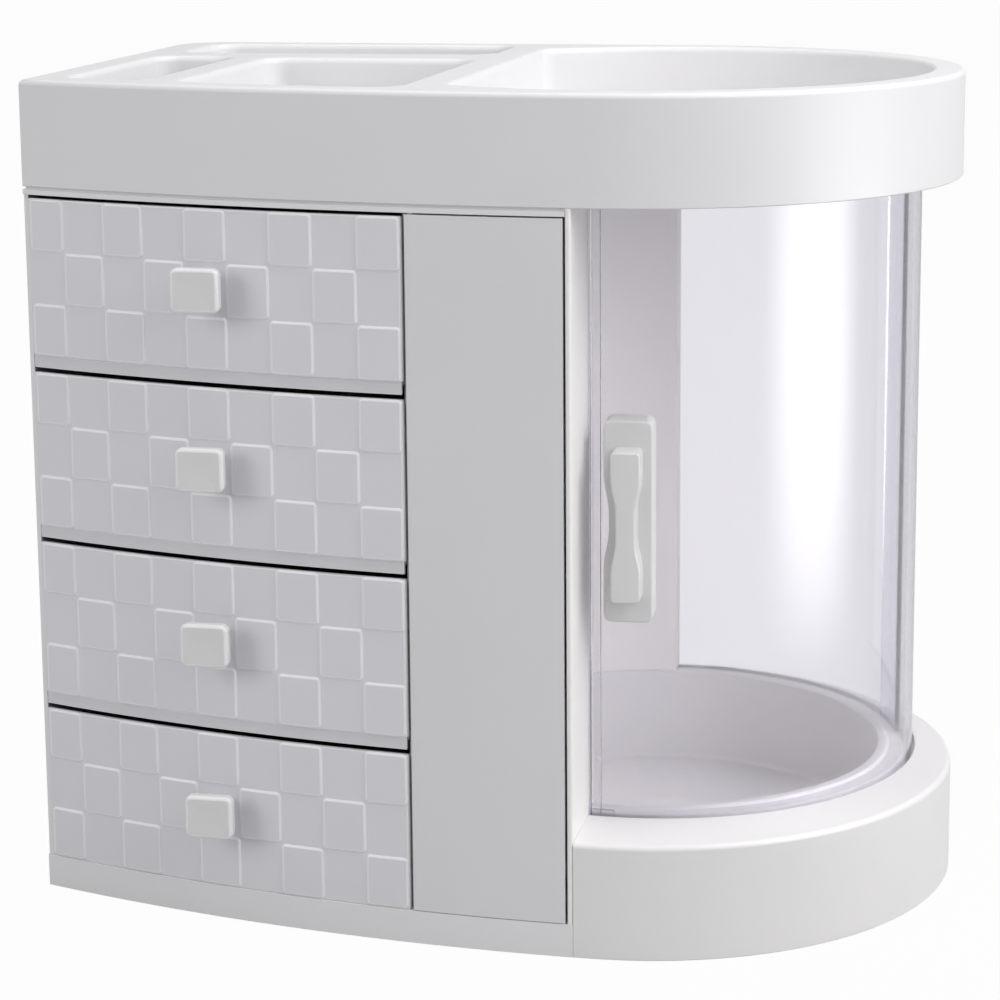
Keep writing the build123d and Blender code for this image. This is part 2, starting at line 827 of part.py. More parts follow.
for number, level in enumerate(shelf_levels):
    name = drawer_count - number
    save(make_drawer_front(level), f"drawer_front_{name}")
    save(make_drawer_box(level), f"drawer_box_{name}")
    save(make_knob(level), f"drawer_knob_{name}")
    save(make_knob_screw(level), f"knob_screw_{name}")
    if number > 0:
        save(make_board(level), f"drawer_board_{name}")
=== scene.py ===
import logging
import math
from collections.abc import Callable, Sequence
from dataclasses import dataclass, field
from enum import Enum

import bmesh
import bpy
from mathutils import Matrix, Vector


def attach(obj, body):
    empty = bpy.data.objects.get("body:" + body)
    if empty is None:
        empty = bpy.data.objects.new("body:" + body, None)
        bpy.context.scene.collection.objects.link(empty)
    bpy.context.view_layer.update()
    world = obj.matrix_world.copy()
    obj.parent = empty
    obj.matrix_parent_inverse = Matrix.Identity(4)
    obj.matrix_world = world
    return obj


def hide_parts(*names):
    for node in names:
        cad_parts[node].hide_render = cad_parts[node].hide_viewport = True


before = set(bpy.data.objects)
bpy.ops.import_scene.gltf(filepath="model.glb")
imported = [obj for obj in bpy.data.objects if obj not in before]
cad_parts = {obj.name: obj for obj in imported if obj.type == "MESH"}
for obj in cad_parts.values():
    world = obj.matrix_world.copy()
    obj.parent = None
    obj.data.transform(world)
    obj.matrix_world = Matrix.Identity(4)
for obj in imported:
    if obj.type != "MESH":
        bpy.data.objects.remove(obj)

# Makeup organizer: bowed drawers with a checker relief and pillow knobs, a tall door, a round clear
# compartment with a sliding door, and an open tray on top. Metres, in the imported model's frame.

logging.basicConfig(level=logging.INFO, format="%(name)s: %(message)s")
log = logging.getLogger("organizer")

Mesh = bmesh.types.BMesh
Loop = list[bmesh.types.BMEdge]
Profile = Sequence[tuple[float, float]]
Triple = tuple[float, float, float]

MM = 0.001
SAME_PLACE = 1e-6

# Sockets of the Mix node for colours, whose names stand for several kinds of value.
MIX_FACTOR, MIX_FIRST, MIX_SECOND, MIX_RESULT = 0, 6, 7, 2

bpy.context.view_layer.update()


@dataclass(frozen=True)
class Sizes:
    """Main sizes of the organizer in metres, and the steps of its round outline."""

    left: float = -0.1635
    back: float = 0.115
    corner: float = 0.020
    end_x: float = 0.0485
    end_radius: float = 0.115
    bow_radius: float = 0.665
    height: float = 0.300
    band_bottom: float = 0.262
    groove_top: float = 0.261
    foot: float = 0.0005
    base_top: float = 0.042
    seam_x: float = 0.0416
    axis_x: float = 0.0505
    axis_y: float = 0.014
    channel_floor: float = 0.0388
    ceiling: float = 0.266
    lowest_drawer: float = 0.0124
    drawer_pitch: float = 0.0629
    drawer_count: int = 4
    bow_steps: int = 28
    end_steps: int = 72
    corner_steps: int = 12

    @property
    def bow_y(self) -> float:
        """Y of the middle of the bowed front's circle."""
        return self.bow_radius - self.end_radius

    def front(self, x: float, inset: float = 0.0) -> float:
        """Y of the bowed front at a place along it, or of a face behind it by an inset."""
        radius = self.bow_radius - inset
        return self.bow_y - math.sqrt(radius**2 - (x - self.end_x) ** 2)


SIZES = Sizes()


class Contour:
    """A line in a level plane, drawn by pulling and spinning one vertex."""

    def __init__(self, mesh: Mesh, level: float) -> None:
        """Starts without a vertex.

        Args:
            mesh: the mesh that gets the line.
            level: level of the whole line.
        """
        self.mesh = mesh
        self.level = level
        self.edges: Loop = []

    def start(self, x: float, y: float) -> "Contour":
        """Puts down the first vertex.

        Args:
            x: start along X.
            y: start along Y.

        Returns:
            The contour.
        """
        self.first = bmesh.ops.create_vert(self.mesh, co=(x, y, self.level))["vert"][0]
        self.last = self.first
        return self

    def line(self, x: float, y: float) -> "Contour":
        """Pulls the line straight to a point.

        Args:
            x: end along X.
            y: end along Y.

        Returns:
            The contour.
        """
        made = bmesh.ops.extrude_vert_indiv(self.mesh, verts=[self.last])
        self.last = made["verts"][0]
        self.last.co = (x, y, self.level)
        self.edges += made["edges"]
        return self

    def arc(self, x: float, y: float, turn: float, steps: int) -> "Contour":
        """Spins the line round a centre.

        Args:
            x: centre along X.
            y: centre along Y.
            turn: angle in degrees, anticlockwise seen from above.
            steps: number of edges.

        Returns:
            The contour.
        """
        spun = bmesh.ops.spin(
            self.mesh, geom=[self.last], cent=(x, y, self.level), axis=(0, 0, 1), dvec=(0, 0, 0),
            angle=math.radians(turn), steps=steps, use_merge=False, use_normal_flip=False,
            use_duplicate=False,
        )
        end = [part for part in spun["geom_last"] if isinstance(part, bmesh.types.BMVert)][0]
        known = set(self.edges[-1:])
        while self.last is not end:
            step = [edge for edge in self.last.link_edges if edge not in known][0]
            known.add(step)
            self.edges.append(step)
            self.last = step.other_vert(self.last)
        return self

    def arc_to(self, x: float, y: float, bearing: float, steps: int) -> "Contour":
        """Spins the line anticlockwise round a centre until it bears at an angle in degrees."""
        now = math.degrees(math.atan2(self.last.co.y - y, self.last.co.x - x))
        return self.arc(x, y, (bearing - now) % 360.0, steps)

    def close(self) -> Loop:
        """Joins the end to the start.

        Returns:
            The edges of the closed line.
        """
        if (self.first.co - self.last.co).length < SAME_PLACE:
            spare = self.edges.pop()
            before = spare.other_vert(self.last)
            bmesh.ops.delete(self.mesh, geom=[self.last], context="VERTS")
            self.last = before
        self.edges.append(self.mesh.edges.new((self.last, self.first)))
        return self.edges


class Plan:
    """A closed plan, whose contour can be drawn at any inset and level."""

    def draw(self, pen: Contour, inset: float) -> None:
        """Draws the contour; each kind of plan has its own way."""
        raise NotImplementedError

    def trace(self, mesh: Mesh, inset: float, level: float) -> Loop:
        """Draws the contour and closes it.

        Args:
            mesh: the mesh that gets the line.
            inset: how far inside the plan's outline.
            level: level of the line.

        Returns:
            The edges of the closed line.
        """
        pen = Contour(mesh, level)
        self.draw(pen, inset)
        return pen.close()


@dataclass(frozen=True)
class WholePlan(Plan):
    """Plan of the whole body: bowed front, half-round right end, flat back, rounded back corner."""

    def draw(self, pen: Contour, inset: float) -> None:
        """Draws the contour.

        Args:
            pen: the line.
            inset: how far inside the outline.
        """
        s = SIZES
        pen.start(s.left + inset, s.front(s.left + inset, inset))
        pen.arc_to(s.end_x, s.bow_y, -90, s.bow_steps)
        pen.arc_to(s.end_x, 0, 90, s.end_steps)
        pen.line(s.left + s.corner, s.back - inset)
        pen.arc_to(s.left + s.corner, s.back - s.corner, 180, s.corner_steps)


@dataclass(frozen=True)
class EndPlan(Plan):
    """Plan of the round end right of the seam."""

    def draw(self, pen: Contour, inset: float) -> None:
        """Draws the contour.

        Args:
            pen: the line.
            inset: how far inside the outline.
        """
        s = SIZES
        pen.start(s.seam_x, s.front(s.seam_x, inset))
        pen.arc_to(s.end_x, s.bow_y, -90, 2)
        pen.arc_to(s.end_x, 0, 90, s.end_steps)
        pen.line(s.seam_x, s.back - inset)


@dataclass(frozen=True)
class LedgePlan(EndPlan):
    """Plan of the ledge between the outside of the round end and the door channel."""

    inner: float
    steps: int = 144

    def draw(self, pen: Contour, inset: float) -> None:
        """Draws the contour.

        Args:
            pen: the line.
            inset: how far inside the outline of the round end.
        """
        s = SIZES
        super().draw(pen, inset)
        rise = math.sqrt(self.inner**2 - (s.seam_x - s.axis_x) ** 2)
        pen.line(s.seam_x, s.axis_y + rise)
        half = math.degrees(math.atan2(rise, s.seam_x - s.axis_x))
        pen.arc(s.axis_x, s.axis_y, -2 * half, self.steps)


@dataclass(frozen=True)
class BowStripPlan(Plan):
    """Plan of a plate that follows the bowed front, with rounded front corners."""

    x0: float
    x1: float
    outer: float
    inner: float
    right_round: float
    left_round: float
    steps: int
    corner_steps: int = 4

    def draw(self, pen: Contour, inset: float) -> None:
        """Draws the contour.

        Args:
            pen: the line.
            inset: how far inside the outline, at the ends and the back.
        """
        s = SIZES
        ends = []
        rounds = (self.left_round, self.right_round)
        for x, radius in zip((self.x0 + rounds[0], self.x1 - rounds[1]), rounds):
            reach = s.bow_radius - self.outer - radius
            y = s.bow_y - math.sqrt(reach**2 - (x - s.end_x) ** 2)
            ends.append((x, y, math.degrees(math.atan2(y - s.bow_y, x - s.end_x))))
        (xl, yl, al), (xr, yr, ar) = ends
        back = self.inner - inset
        pen.start(self.x0 + inset, s.front(self.x0 + inset, back))
        pen.line(self.x0 + inset, yl).arc_to(xl, yl, al, self.corner_steps)
        pen.arc_to(s.end_x, s.bow_y, ar, self.steps).arc_to(xr, yr, 0, self.corner_steps)
        pen.line(self.x1 - inset, s.front(self.x1 - inset, back))
        turns = [
            math.atan2(s.front(x, back) - s.bow_y, x - s.end_x)
            for x in (self.x0 + inset, self.x1 - inset)
        ]
        pen.arc(s.end_x, s.bow_y, math.degrees(turns[0] - turns[1]), self.steps)


@dataclass(frozen=True)
class BoxPlan(Plan):
    """Plan of a drawer box or a tray pocket behind the bowed front, with rounded rear corners."""

    x0: float
    x1: float
    front: float
    rear: float
    rear_radius: float
    front_radius: float = 0.0
    corner_steps: int = 8
    front_steps: int = 16
    rounded_front_steps: int = 12

    def draw(self, pen: Contour, inset: float) -> None:
        """Draws the contour.

        Args:
            pen: the line.
            inset: how far inside the outline.
        """
        s = SIZES
        left, right = self.x0 + inset, self.x1 - inset
        rear = self.rear - self.rear_radius
        pen.start(left, rear)
        if self.front_radius:
            r = self.front_radius
            reach = s.bow_radius - self.front - r
            xl, xr = self.x0 + r, self.x1 - r
            yl, yr = (s.bow_y - math.sqrt(reach**2 - (x - s.end_x) ** 2) for x in (xl, xr))
            al = math.degrees(math.atan2(yl - s.bow_y, xl - s.end_x))
            ar = math.degrees(math.atan2(yr - s.bow_y, xr - s.end_x))
            pen.line(left, yl).arc_to(xl, yl, al, self.corner_steps)
            pen.arc_to(s.end_x, s.bow_y, ar, self.rounded_front_steps)
            pen.arc_to(xr, yr, 0, self.corner_steps)
        else:
            depth = self.front + inset
            pen.line(left, s.front(left, depth))
            turn = math.atan2(s.front(right, depth) - s.bow_y, right - s.end_x)
            pen.arc_to(s.end_x, s.bow_y, math.degrees(turn), self.front_steps)
        pen.line(right, rear)
        pen.arc_to(self.x1 - self.rear_radius, rear, 90, self.corner_steps)
        pen.line(self.x0 + self.rear_radius, self.rear - inset)
        pen.arc_to(self.x0 + self.rear_radius, rear, 180, self.corner_steps)


@dataclass(frozen=True)
class RoundedPlan(Plan):
    """Rectangle with rounded corners, for the long pocket, knobs, raised cells and the handle."""

    x0: float
    x1: float
    y0: float
    y1: float
    radius: float
    steps: int
    least_round: float = 0.05 * MM

    @classmethod
    def centred(cls, width: float, height: float, radius: float, steps: int) -> "RoundedPlan":
        """Plan about the origin, given its width, height, corner radius and steps of a corner."""
        return cls(-width / 2, width / 2, -height / 2, height / 2, radius, steps)

    def draw(self, pen: Contour, inset: float) -> None:
        """Draws the contour.

        Args:
            pen: the line.
            inset: how far inside the outline.
        """
        r = max(self.radius, inset + self.least_round)
        pen.start(self.x0 + inset, self.y0 + r)
        pen.arc(self.x0 + r, self.y0 + r, 90, self.steps)
        pen.line(self.x1 - r, self.y0 + inset).arc(self.x1 - r, self.y0 + r, 90, self.steps)
        pen.line(self.x1 - inset, self.y1 - r).arc(self.x1 - r, self.y1 - r, 90, self.steps)
        pen.line(self.x0 + r, self.y1 - inset).arc(self.x0 + r, self.y1 - r, 90, self.steps)


@dataclass(frozen=True)
class RoundPocketPlan(Plan):
    """Plan of the round pocket of the tray, cut straight at its left."""

    x: float = 0.050
    y: float = 0.0015
    circle: float = 0.1015
    left: float = -0.0065
    radius: float = 0.009
    corner_steps: int = 8
    circle_steps: int = 88

    def draw(self, pen: Contour, inset: float) -> None:
        """Draws the contour.

        Args:
            pen: the line.
            inset: how far inside the outline.
        """
        side = self.left + self.radius
        rise = math.sqrt((self.circle - self.radius) ** 2 - (side - self.x) ** 2)
        bearing = math.degrees(math.atan2(rise, side - self.x))
        pen.start(self.left + inset, self.y + rise)
        pen.line(self.left + inset, self.y - rise)
        pen.arc_to(side, self.y - rise, -bearing, self.corner_steps)
        pen.arc_to(self.x, self.y, bearing, self.circle_steps)
        pen.arc_to(side, self.y + rise, 180, self.corner_steps)


@dataclass(frozen=True)
class PanelPlan(Plan):
    """Plan of a curved panel round the clear compartment, with a rib inside its first end."""

    inner: float
    outer: float
    start: float
    end: float
    steps: int = 96
    rib: float = 0.0
    rib_depth: float = 0.0007
    rib_steps: int = 5

    def draw(self, pen: Contour, inset: float) -> None:
        """Draws the contour.

        Args:
            pen: the line.
            inset: how far inside the outline.
        """
        x, y = SIZES.axis_x, SIZES.axis_y
        back_off = math.degrees(inset / self.outer)
        turn = math.radians(self.start + back_off)
        outer, inner = self.outer - inset, self.inner + inset
        sweep = self.end - self.start - 2 * back_off
        pen.start(x + outer * math.cos(turn), y + outer * math.sin(turn))
        pen.arc(x, y, sweep, self.steps)
        turn = math.radians(self.end - back_off)
        pen.line(x + inner * math.cos(turn), y + inner * math.sin(turn))
        if not self.rib:
            pen.arc(x, y, -sweep, self.steps)
            return
        ribbed = math.degrees(self.rib / inner)
        pen.arc(x, y, ribbed - sweep, self.steps)
        turn, inner = math.radians(self.start + back_off + ribbed), inner - self.rib_depth
        pen.line(x + inner * math.cos(turn), y + inner * math.sin(turn))
        pen.arc(x, y, -ribbed, self.rib_steps)


def rounding(
    start: Sequence[float], corner: Sequence[float], end: Sequence[float], steps: int
) -> list[tuple[float, float]]:
    """Points of a quarter round between two points of a section.

    Args:
        start: first point, as inset and level.
        corner: the sharp corner that is rounded off.
        end: last point.
        steps: number of edges.

    Returns:
        The points, both ends included.
    """
    points = []
    for step in range(steps + 1):
        turn = math.radians(90.0 * step / steps)
        along, across = 1 - math.sin(turn), 1 - math.cos(turn)
        points.append(
            tuple(c + (s - c) * along + (e - c) * across for s, c, e in zip(start, corner, end))
        )
    return points


def skin(mesh: Mesh, plan: Plan, profile: Profile) -> tuple[Loop, Loop]:
    """Bridges contours of one plan, each at its own inset and level.

    Args:
        mesh: the mesh that gets the faces.
        plan: the plan.
        profile: the insets and levels, in order.

    Returns:
        The first and the last contour.
    """
    loops = [plan.trace(mesh, inset, level) for inset, level in profile]
    for lower, upper in zip(loops, loops[1:]):
        bmesh.ops.bridge_loops(mesh, edges=lower + upper)
    return loops[0], loops[-1]


def cap(mesh: Mesh, *loops: Loop) -> None:
    """Fills the flat area between contours, such as a floor, or a rim round openings.

    Args:
        mesh: the mesh that gets the faces.
        loops: one contour, or an outer one and those of the openings.
    """
    if len(loops) == 1:
        made = bmesh.ops.contextual_create(mesh, geom=loops[0])
        for face in made["faces"]:
            face.material_index = 0
        return
    edges = [edge for loop in loops for edge in loop]
    bmesh.ops.triangle_fill(
        mesh, use_beauty=True, use_dissolve=False, edges=edges, normal=(0, 0, 1)
    )


def solid(mesh: Mesh, plan: Plan, profile: Profile) -> None:
    """Adds a skin of a plan, by its insets and levels, that is capped at both ends."""
    for loop in skin(mesh, plan, profile):
        cap(mesh, loop)


def join(mesh: Mesh, part: Mesh) -> None:
    """Adds a part to a mesh and frees the part.

    Args:
        mesh: the mesh that gets it.
        part: the part.
    """
    data = bpy.data.meshes.new("part")
    part.to_mesh(data)
    part.free()
    mesh.from_mesh(data)
    bpy.data.meshes.remove(data)


def spin_section(section: Profile, centre: Triple, axis: Triple, steps: int) -> Mesh:
    """Spins a section once round.

    Args:
        section: distances from the axis and places along it.
        centre: a point of the axis.
        axis: its direction, at right angles to X.
        steps: number of sides.

    Returns:
        The new mesh.
    """
    places = [
        tuple(c + a * along + r for c, a, r in zip(centre, axis, (radius, 0.0, 0.0)))
        for radius, along in section
    ]
    part = bmesh.new()
    last = bmesh.ops.create_vert(part, co=places[0])["vert"][0]
    for place in places[1:]:
        last = bmesh.ops.extrude_vert_indiv(part, verts=[last])["verts"][0]
        last.co = place
    bmesh.ops.spin(
        part, geom=part.verts[:] + part.edges[:], cent=centre, axis=axis, dvec=(0, 0, 0),
        angle=math.radians(360), steps=steps, use_merge=True, use_normal_flip=False,
        use_duplicate=False,
    )
    return part


def cut(mesh: Mesh, place: Triple, away: Triple, clear: bool = True) -> None:
    """Cuts a mesh at a plane.

    Args:
        mesh: the mesh.
        place: a point of the plane.
        away: the plane's direction.
        clear: True to clear what lies beyond it.
    """
    bmesh.ops.bisect_plane(
        mesh, geom=mesh.verts[:] + mesh.edges[:] + mesh.faces[:], plane_co=place, plane_no=away,
        clear_outer=clear,
    )


def soften(
    mesh: Mesh, width: float, segments: int = 2, least: float = 40.0, mark: bool = False
) -> None:
    """Rounds the sharp edges of a mesh.

    Args:
        mesh: the mesh.
        width: width of the rounding.
        segments: faces across it.
        least: smallest angle between two faces that counts as sharp, in degrees.
        mark: True to give the rounded faces the second slot, which holds a painted highlight.
    """
    bmesh.ops.recalc_face_normals(mesh, faces=mesh.faces)
    limit = math.radians(least)
    sharp = [e for e in mesh.edges if len(e.link_faces) == 2 and e.calc_face_angle(0.0) > limit]
    rounded = bmesh.ops.bevel(
        mesh, geom=sharp, offset=width, offset_type="OFFSET", segments=segments, profile=0.5,
        affect="EDGES", clamp_overlap=True, material=-1, loop_slide=True,
    )
    # With mark, the rounded faces take the painted highlight of the second slot.
    for face in rounded["faces"]:
        face.material_index = int(mark)


class Signal:
    """A number in a shader, on which sums are written as Python expressions."""

    def __init__(self, graph: "Graph", socket: bpy.types.NodeSocket) -> None:
        """Wraps an output socket of a graph."""
        self.graph = graph
        self.socket = socket

    def _sum(self, operation: str, first: object, second: object) -> "Signal":
        """Adds a Math node for two values and returns its result."""
        node = self.graph.node("ShaderNodeMath", {"operation": operation}, {0: first, 1: second})
        return Signal(self.graph, node.outputs[0])

    def __add__(self, other: object) -> "Signal":
        """Sum."""
        return self._sum("ADD", self, other)

    def __radd__(self, other: object) -> "Signal":
        """Reflected sum."""
        return self._sum("ADD", other, self)

    def __sub__(self, other: object) -> "Signal":
        """Difference."""
        return self._sum("SUBTRACT", self, other)

    def __rsub__(self, other: object) -> "Signal":
        """Reflected difference."""
        return self._sum("SUBTRACT", other, self)

    def __mul__(self, other: object) -> "Signal":
        """Product."""
        return self._sum("MULTIPLY", self, other)

    def __rmul__(self, other: object) -> "Signal":
        """Reflected product."""
        return self._sum("MULTIPLY", other, self)


class Graph:
    """The nodes of one material, of a lamp or of the world."""

    def __init__(self, tree: bpy.types.NodeTree) -> None:
        """Starts from an empty tree."""
        self.tree = tree
        tree.nodes.clear()

    def node(
        self, kind: str, settings: dict[str, object] | None = None,
        inputs: dict[str | int, object] | None = None,
    ) -> bpy.types.Node:
        """Adds a node.

        Args:
            kind: type name of the node.
            settings: attributes that are set first.
            inputs: values or links, by socket name or number.

        Returns:
            The node.
        """
        made = self.tree.nodes.new(kind)
        for name, value in (settings or {}).items():
            setattr(made, name, value)
        for key, value in (inputs or {}).items():
            if isinstance(value, Signal):
                value = value.socket
            if isinstance(value, bpy.types.NodeSocket):
                self.tree.links.new(value, made.inputs[key])
            else:
                made.inputs[key].default_value = value
        return made

    def noise(self, scale: float, detail: float, roughness: float = 0.5) -> Signal:
        """Adds noise on the object's own place.

        Args:
            scale: features per metre.
            detail: octaves.
            roughness: weight of the finer octaves.

        Returns:
            The noise as a number.
        """
        place = self.node("ShaderNodeTexCoord").outputs["Object"]
        made = self.node(
            "ShaderNodeTexNoise", {"noise_dimensions": "3D"},
            {"Vector": place, "Scale": scale, "Detail": detail, "Roughness": roughness},
        )
        return Signal(self, made.outputs["Fac"])

    def blend(self, factor: Signal, first: Triple, second: Triple) -> bpy.types.NodeSocket:
        """Mixes two colours by the share of the second one."""
        inputs = {MIX_FACTOR: factor, MIX_FIRST: (*first, 1), MIX_SECOND: (*second, 1)}
        return self.node("ShaderNodeMix", {"data_type": "RGBA"}, inputs).outputs[MIX_RESULT]

    def bump(self, strength: float, distance: float, height: Signal) -> bpy.types.NodeSocket:
        """Adds a bump of a strength and a height in metres, and returns its normal."""
        inputs = {"Strength": strength, "Distance": distance, "Height": height}
        return self.node("ShaderNodeBump", None, inputs).outputs[0]

    def mixed(
        self, share: Signal, first: bpy.types.Node, second: bpy.types.Node
    ) -> bpy.types.NodeSocket:
        """Mixes two shaders by the share of the second one."""
        inputs = {0: share, 1: first.outputs[0], 2: second.outputs[0]}
        return self.node("ShaderNodeMixShader", None, inputs).outputs[0]

    def rays(self, *kinds: str) -> list[Signal]:
        """Reads outputs of the Light Path node, each 1 for a ray of its kind and otherwise 0."""
        ray = self.node("ShaderNodeLightPath")
        return [Signal(self, ray.outputs[kind]) for kind in kinds]


def new_material(name: str) -> tuple[bpy.types.Material, Graph]:
    """Makes a material without nodes.

    Args:
        name: its name.

    Returns:
        The material and the graph of its nodes.
    """
    made = bpy.data.materials.new(name)
    made.use_nodes = True
    return made, Graph(made.node_tree)


@dataclass(frozen=True)
class MouldedPlastic:
    """Satin moulded plastic: a slightly cloudy colour, uneven gloss and a fine mould grain."""

    name: str
    colour: Triple
    roughness: float
    cloud: float = 0.02
    grain: float = 0.05
    gloss: float = 0.5
    cloud_scale: float = 22.0
    grain_scale: float = 1900.0
    flow_scale: float = 70.0
    uneven_gloss: float = 0.10
    grainy_gloss: float = 0.06
    grain_height: float = 0.1 * MM
    grain_detail: float = 0.6
    refraction: float = 1.5

    def material(self) -> bpy.types.Material:
        """Builds the material.

        Returns:
            The material.
        """
        made, graph = new_material(self.name)
        cloud = graph.noise(self.cloud_scale, 3.0)
        grain = graph.noise(self.grain_scale, 2.0, self.grain_detail)
        flow = graph.noise(self.flow_scale, 2.0)
        dark = tuple(value * (1 - self.cloud) for value in self.colour)
        light = tuple(min(1.0, value * (1 + self.cloud)) for value in self.colour)
        uneven = (flow - 0.5) * self.uneven_gloss + (grain - 0.5) * self.grainy_gloss
        shader = graph.node(
            "ShaderNodeBsdfPrincipled", None,
            {
                "Base Color": graph.blend(cloud, dark, light), "Roughness": self.roughness + uneven,
                "Normal": graph.bump(self.grain, self.grain_height, grain),
                "Specular IOR Level": self.gloss, "IOR": self.refraction,
            },
        )
        graph.node("ShaderNodeOutputMaterial", None, {"Surface": shader.outputs[0]})
        return made


@dataclass(frozen=True)
class ClearPlastic:
    """Clear plastic that darkens with the way of the light through it, with faint haze."""

    name: str
    colour: Triple
    through: Triple
    density: float
    roughness: float = 0.02
    hazy_gloss: float = 0.03
    haze_scale: float = 30.0
    wave_scale: float = 9.0
    wave_strength: float = 0.06
    wave_height: float = 1.0 * MM
    hazy_colour: float = 0.99
    shadow: float = 0.98
    refraction: float = 1.49

    def material(self) -> bpy.types.Material:
        """Builds the material.

        Returns:
            The material.
        """
        made, graph = new_material(self.name)
        haze = graph.noise(self.haze_scale, 3.0)
        wave = graph.noise(self.wave_scale, 1.0)
        hazy = tuple(value * self.hazy_colour for value in self.colour)
        shader = graph.node(
            "ShaderNodeBsdfPrincipled", None,
            {
                "Base Color": graph.blend(haze, self.colour, hazy),
                "Roughness": self.roughness + haze * self.hazy_gloss,
                "Normal": graph.bump(self.wave_strength, self.wave_height, wave),
                "IOR": self.refraction, "Transmission Weight": 1.0,
            },
        )
        clear = graph.node("ShaderNodeBsdfTransparent", None, {"Color": (*[self.shadow] * 3, 1)})
        tint = {"Color": (*self.through, 1), "Density": self.density}
        depth = graph.node("ShaderNodeVolumeAbsorption", None, tint)
        surface = graph.mixed(graph.rays("Is Shadow Ray")[0], shader, clear)
        sockets = {"Surface": surface, "Volume": depth.outputs[0]}
        graph.node("ShaderNodeOutputMaterial", None, sockets)
        return made


@dataclass(frozen=True)
class Steel:
    """Plated steel of small screws, with fine turning marks in its colour and gloss."""

    name: str
    colour: Triple = (0.62, 0.62, 0.63)
    roughness: float = 0.24
    marked_gloss: float = 0.16
    mark_scale: float = 2500.0
    mark_detail: float = 0.7
    bright: float = 1.15

    def material(self) -> bpy.types.Material:
        """Builds the material.

        Returns:
            The material.
        """
        made, graph = new_material(self.name)
        marks = graph.noise(self.mark_scale, 3.0, self.mark_detail)
        bright = tuple(value * self.bright for value in self.colour)
        shader = graph.node(
            "ShaderNodeBsdfPrincipled", None,
            {
                "Base Color": graph.blend(marks, self.colour, bright), "Metallic": 1.0,
                "Roughness": self.roughness + marks * self.marked_gloss,
            },
        )
        graph.node("ShaderNodeOutputMaterial", None, {"Surface": shader.outputs[0]})
        return made


class Finish(Enum):
    """The finishes of the organizer."""

    CASE = MouldedPlastic("case_plastic", (0.80, 0.792, 0.800), 0.42)
    TRAY = MouldedPlastic("tray_plastic", (0.765, 0.758, 0.768), 0.42)
    BASE = MouldedPlastic("base_plastic", (0.80, 0.788, 0.788), 0.42)
    WALL = MouldedPlastic("wall_plastic", (0.89, 0.872, 0.86), 0.42)
    # The fronts' lavender grey, darkened by painted shade from the drawer fronts above the boards.
    BOARD = MouldedPlastic("board_plastic_painted_shade", (0.69, 0.685, 0.71), 0.42)
    FRONT = MouldedPlastic("front_plastic", (0.745, 0.737, 0.778), 0.36)
    # Painted highlight: a lighter, glossier copy of the front plastic for rounded edges.
    FRONT_PAINTED_HIGHLIGHT = MouldedPlastic("front_plastic_painted_highlight", (0.86, 0.855, 0.88), 0.30)
    DOOR = MouldedPlastic("door_plastic", (0.74, 0.735, 0.745), 0.40)
    KNOB = MouldedPlastic("knob_plastic", (0.735, 0.73, 0.732), 0.32)
    # Painted highlight: a lighter, glossier copy of the knob plastic for rounded edges.
    KNOB_PAINTED_HIGHLIGHT = MouldedPlastic("knob_plastic_painted_highlight", (0.86, 0.86, 0.86), 0.28)
    CLEAR = ClearPlastic("clear_plastic", (0.995, 0.994, 0.996), (0.70, 0.68, 0.77), 160.0)
    STEEL = Steel("screw_steel")
    PAD = MouldedPlastic("pad_rubber", (0.52, 0.52, 0.53), 0.75, 0.05, 0.4, 0.3)


class Slot(Enum):
    """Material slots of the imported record."""

    SHELL = "white_shell"
    FRONT = "grey_front"
    KNOB = "knob"
    CLEAR = "clear_plastic"
    STEEL = "steel"
    PAD = "pad_rubber"


# Painted highlights: lighter copies of the finishes, given to the marked rounded edge faces where
# light would glint.
PAINTED_HIGHLIGHT_OF = {
    Finish.FRONT: Finish.FRONT_PAINTED_HIGHLIGHT, Finish.DOOR: Finish.FRONT_PAINTED_HIGHLIGHT,
    Finish.BOARD: Finish.FRONT_PAINTED_HIGHLIGHT, Finish.KNOB: Finish.KNOB_PAINTED_HIGHLIGHT,
}


@dataclass(frozen=True)
class KeptPart:
    """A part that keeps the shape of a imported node, with its sharp edges rounded by a width."""

    node: str
    name: str
    finish: Finish
    width: float
    body: str = "case"


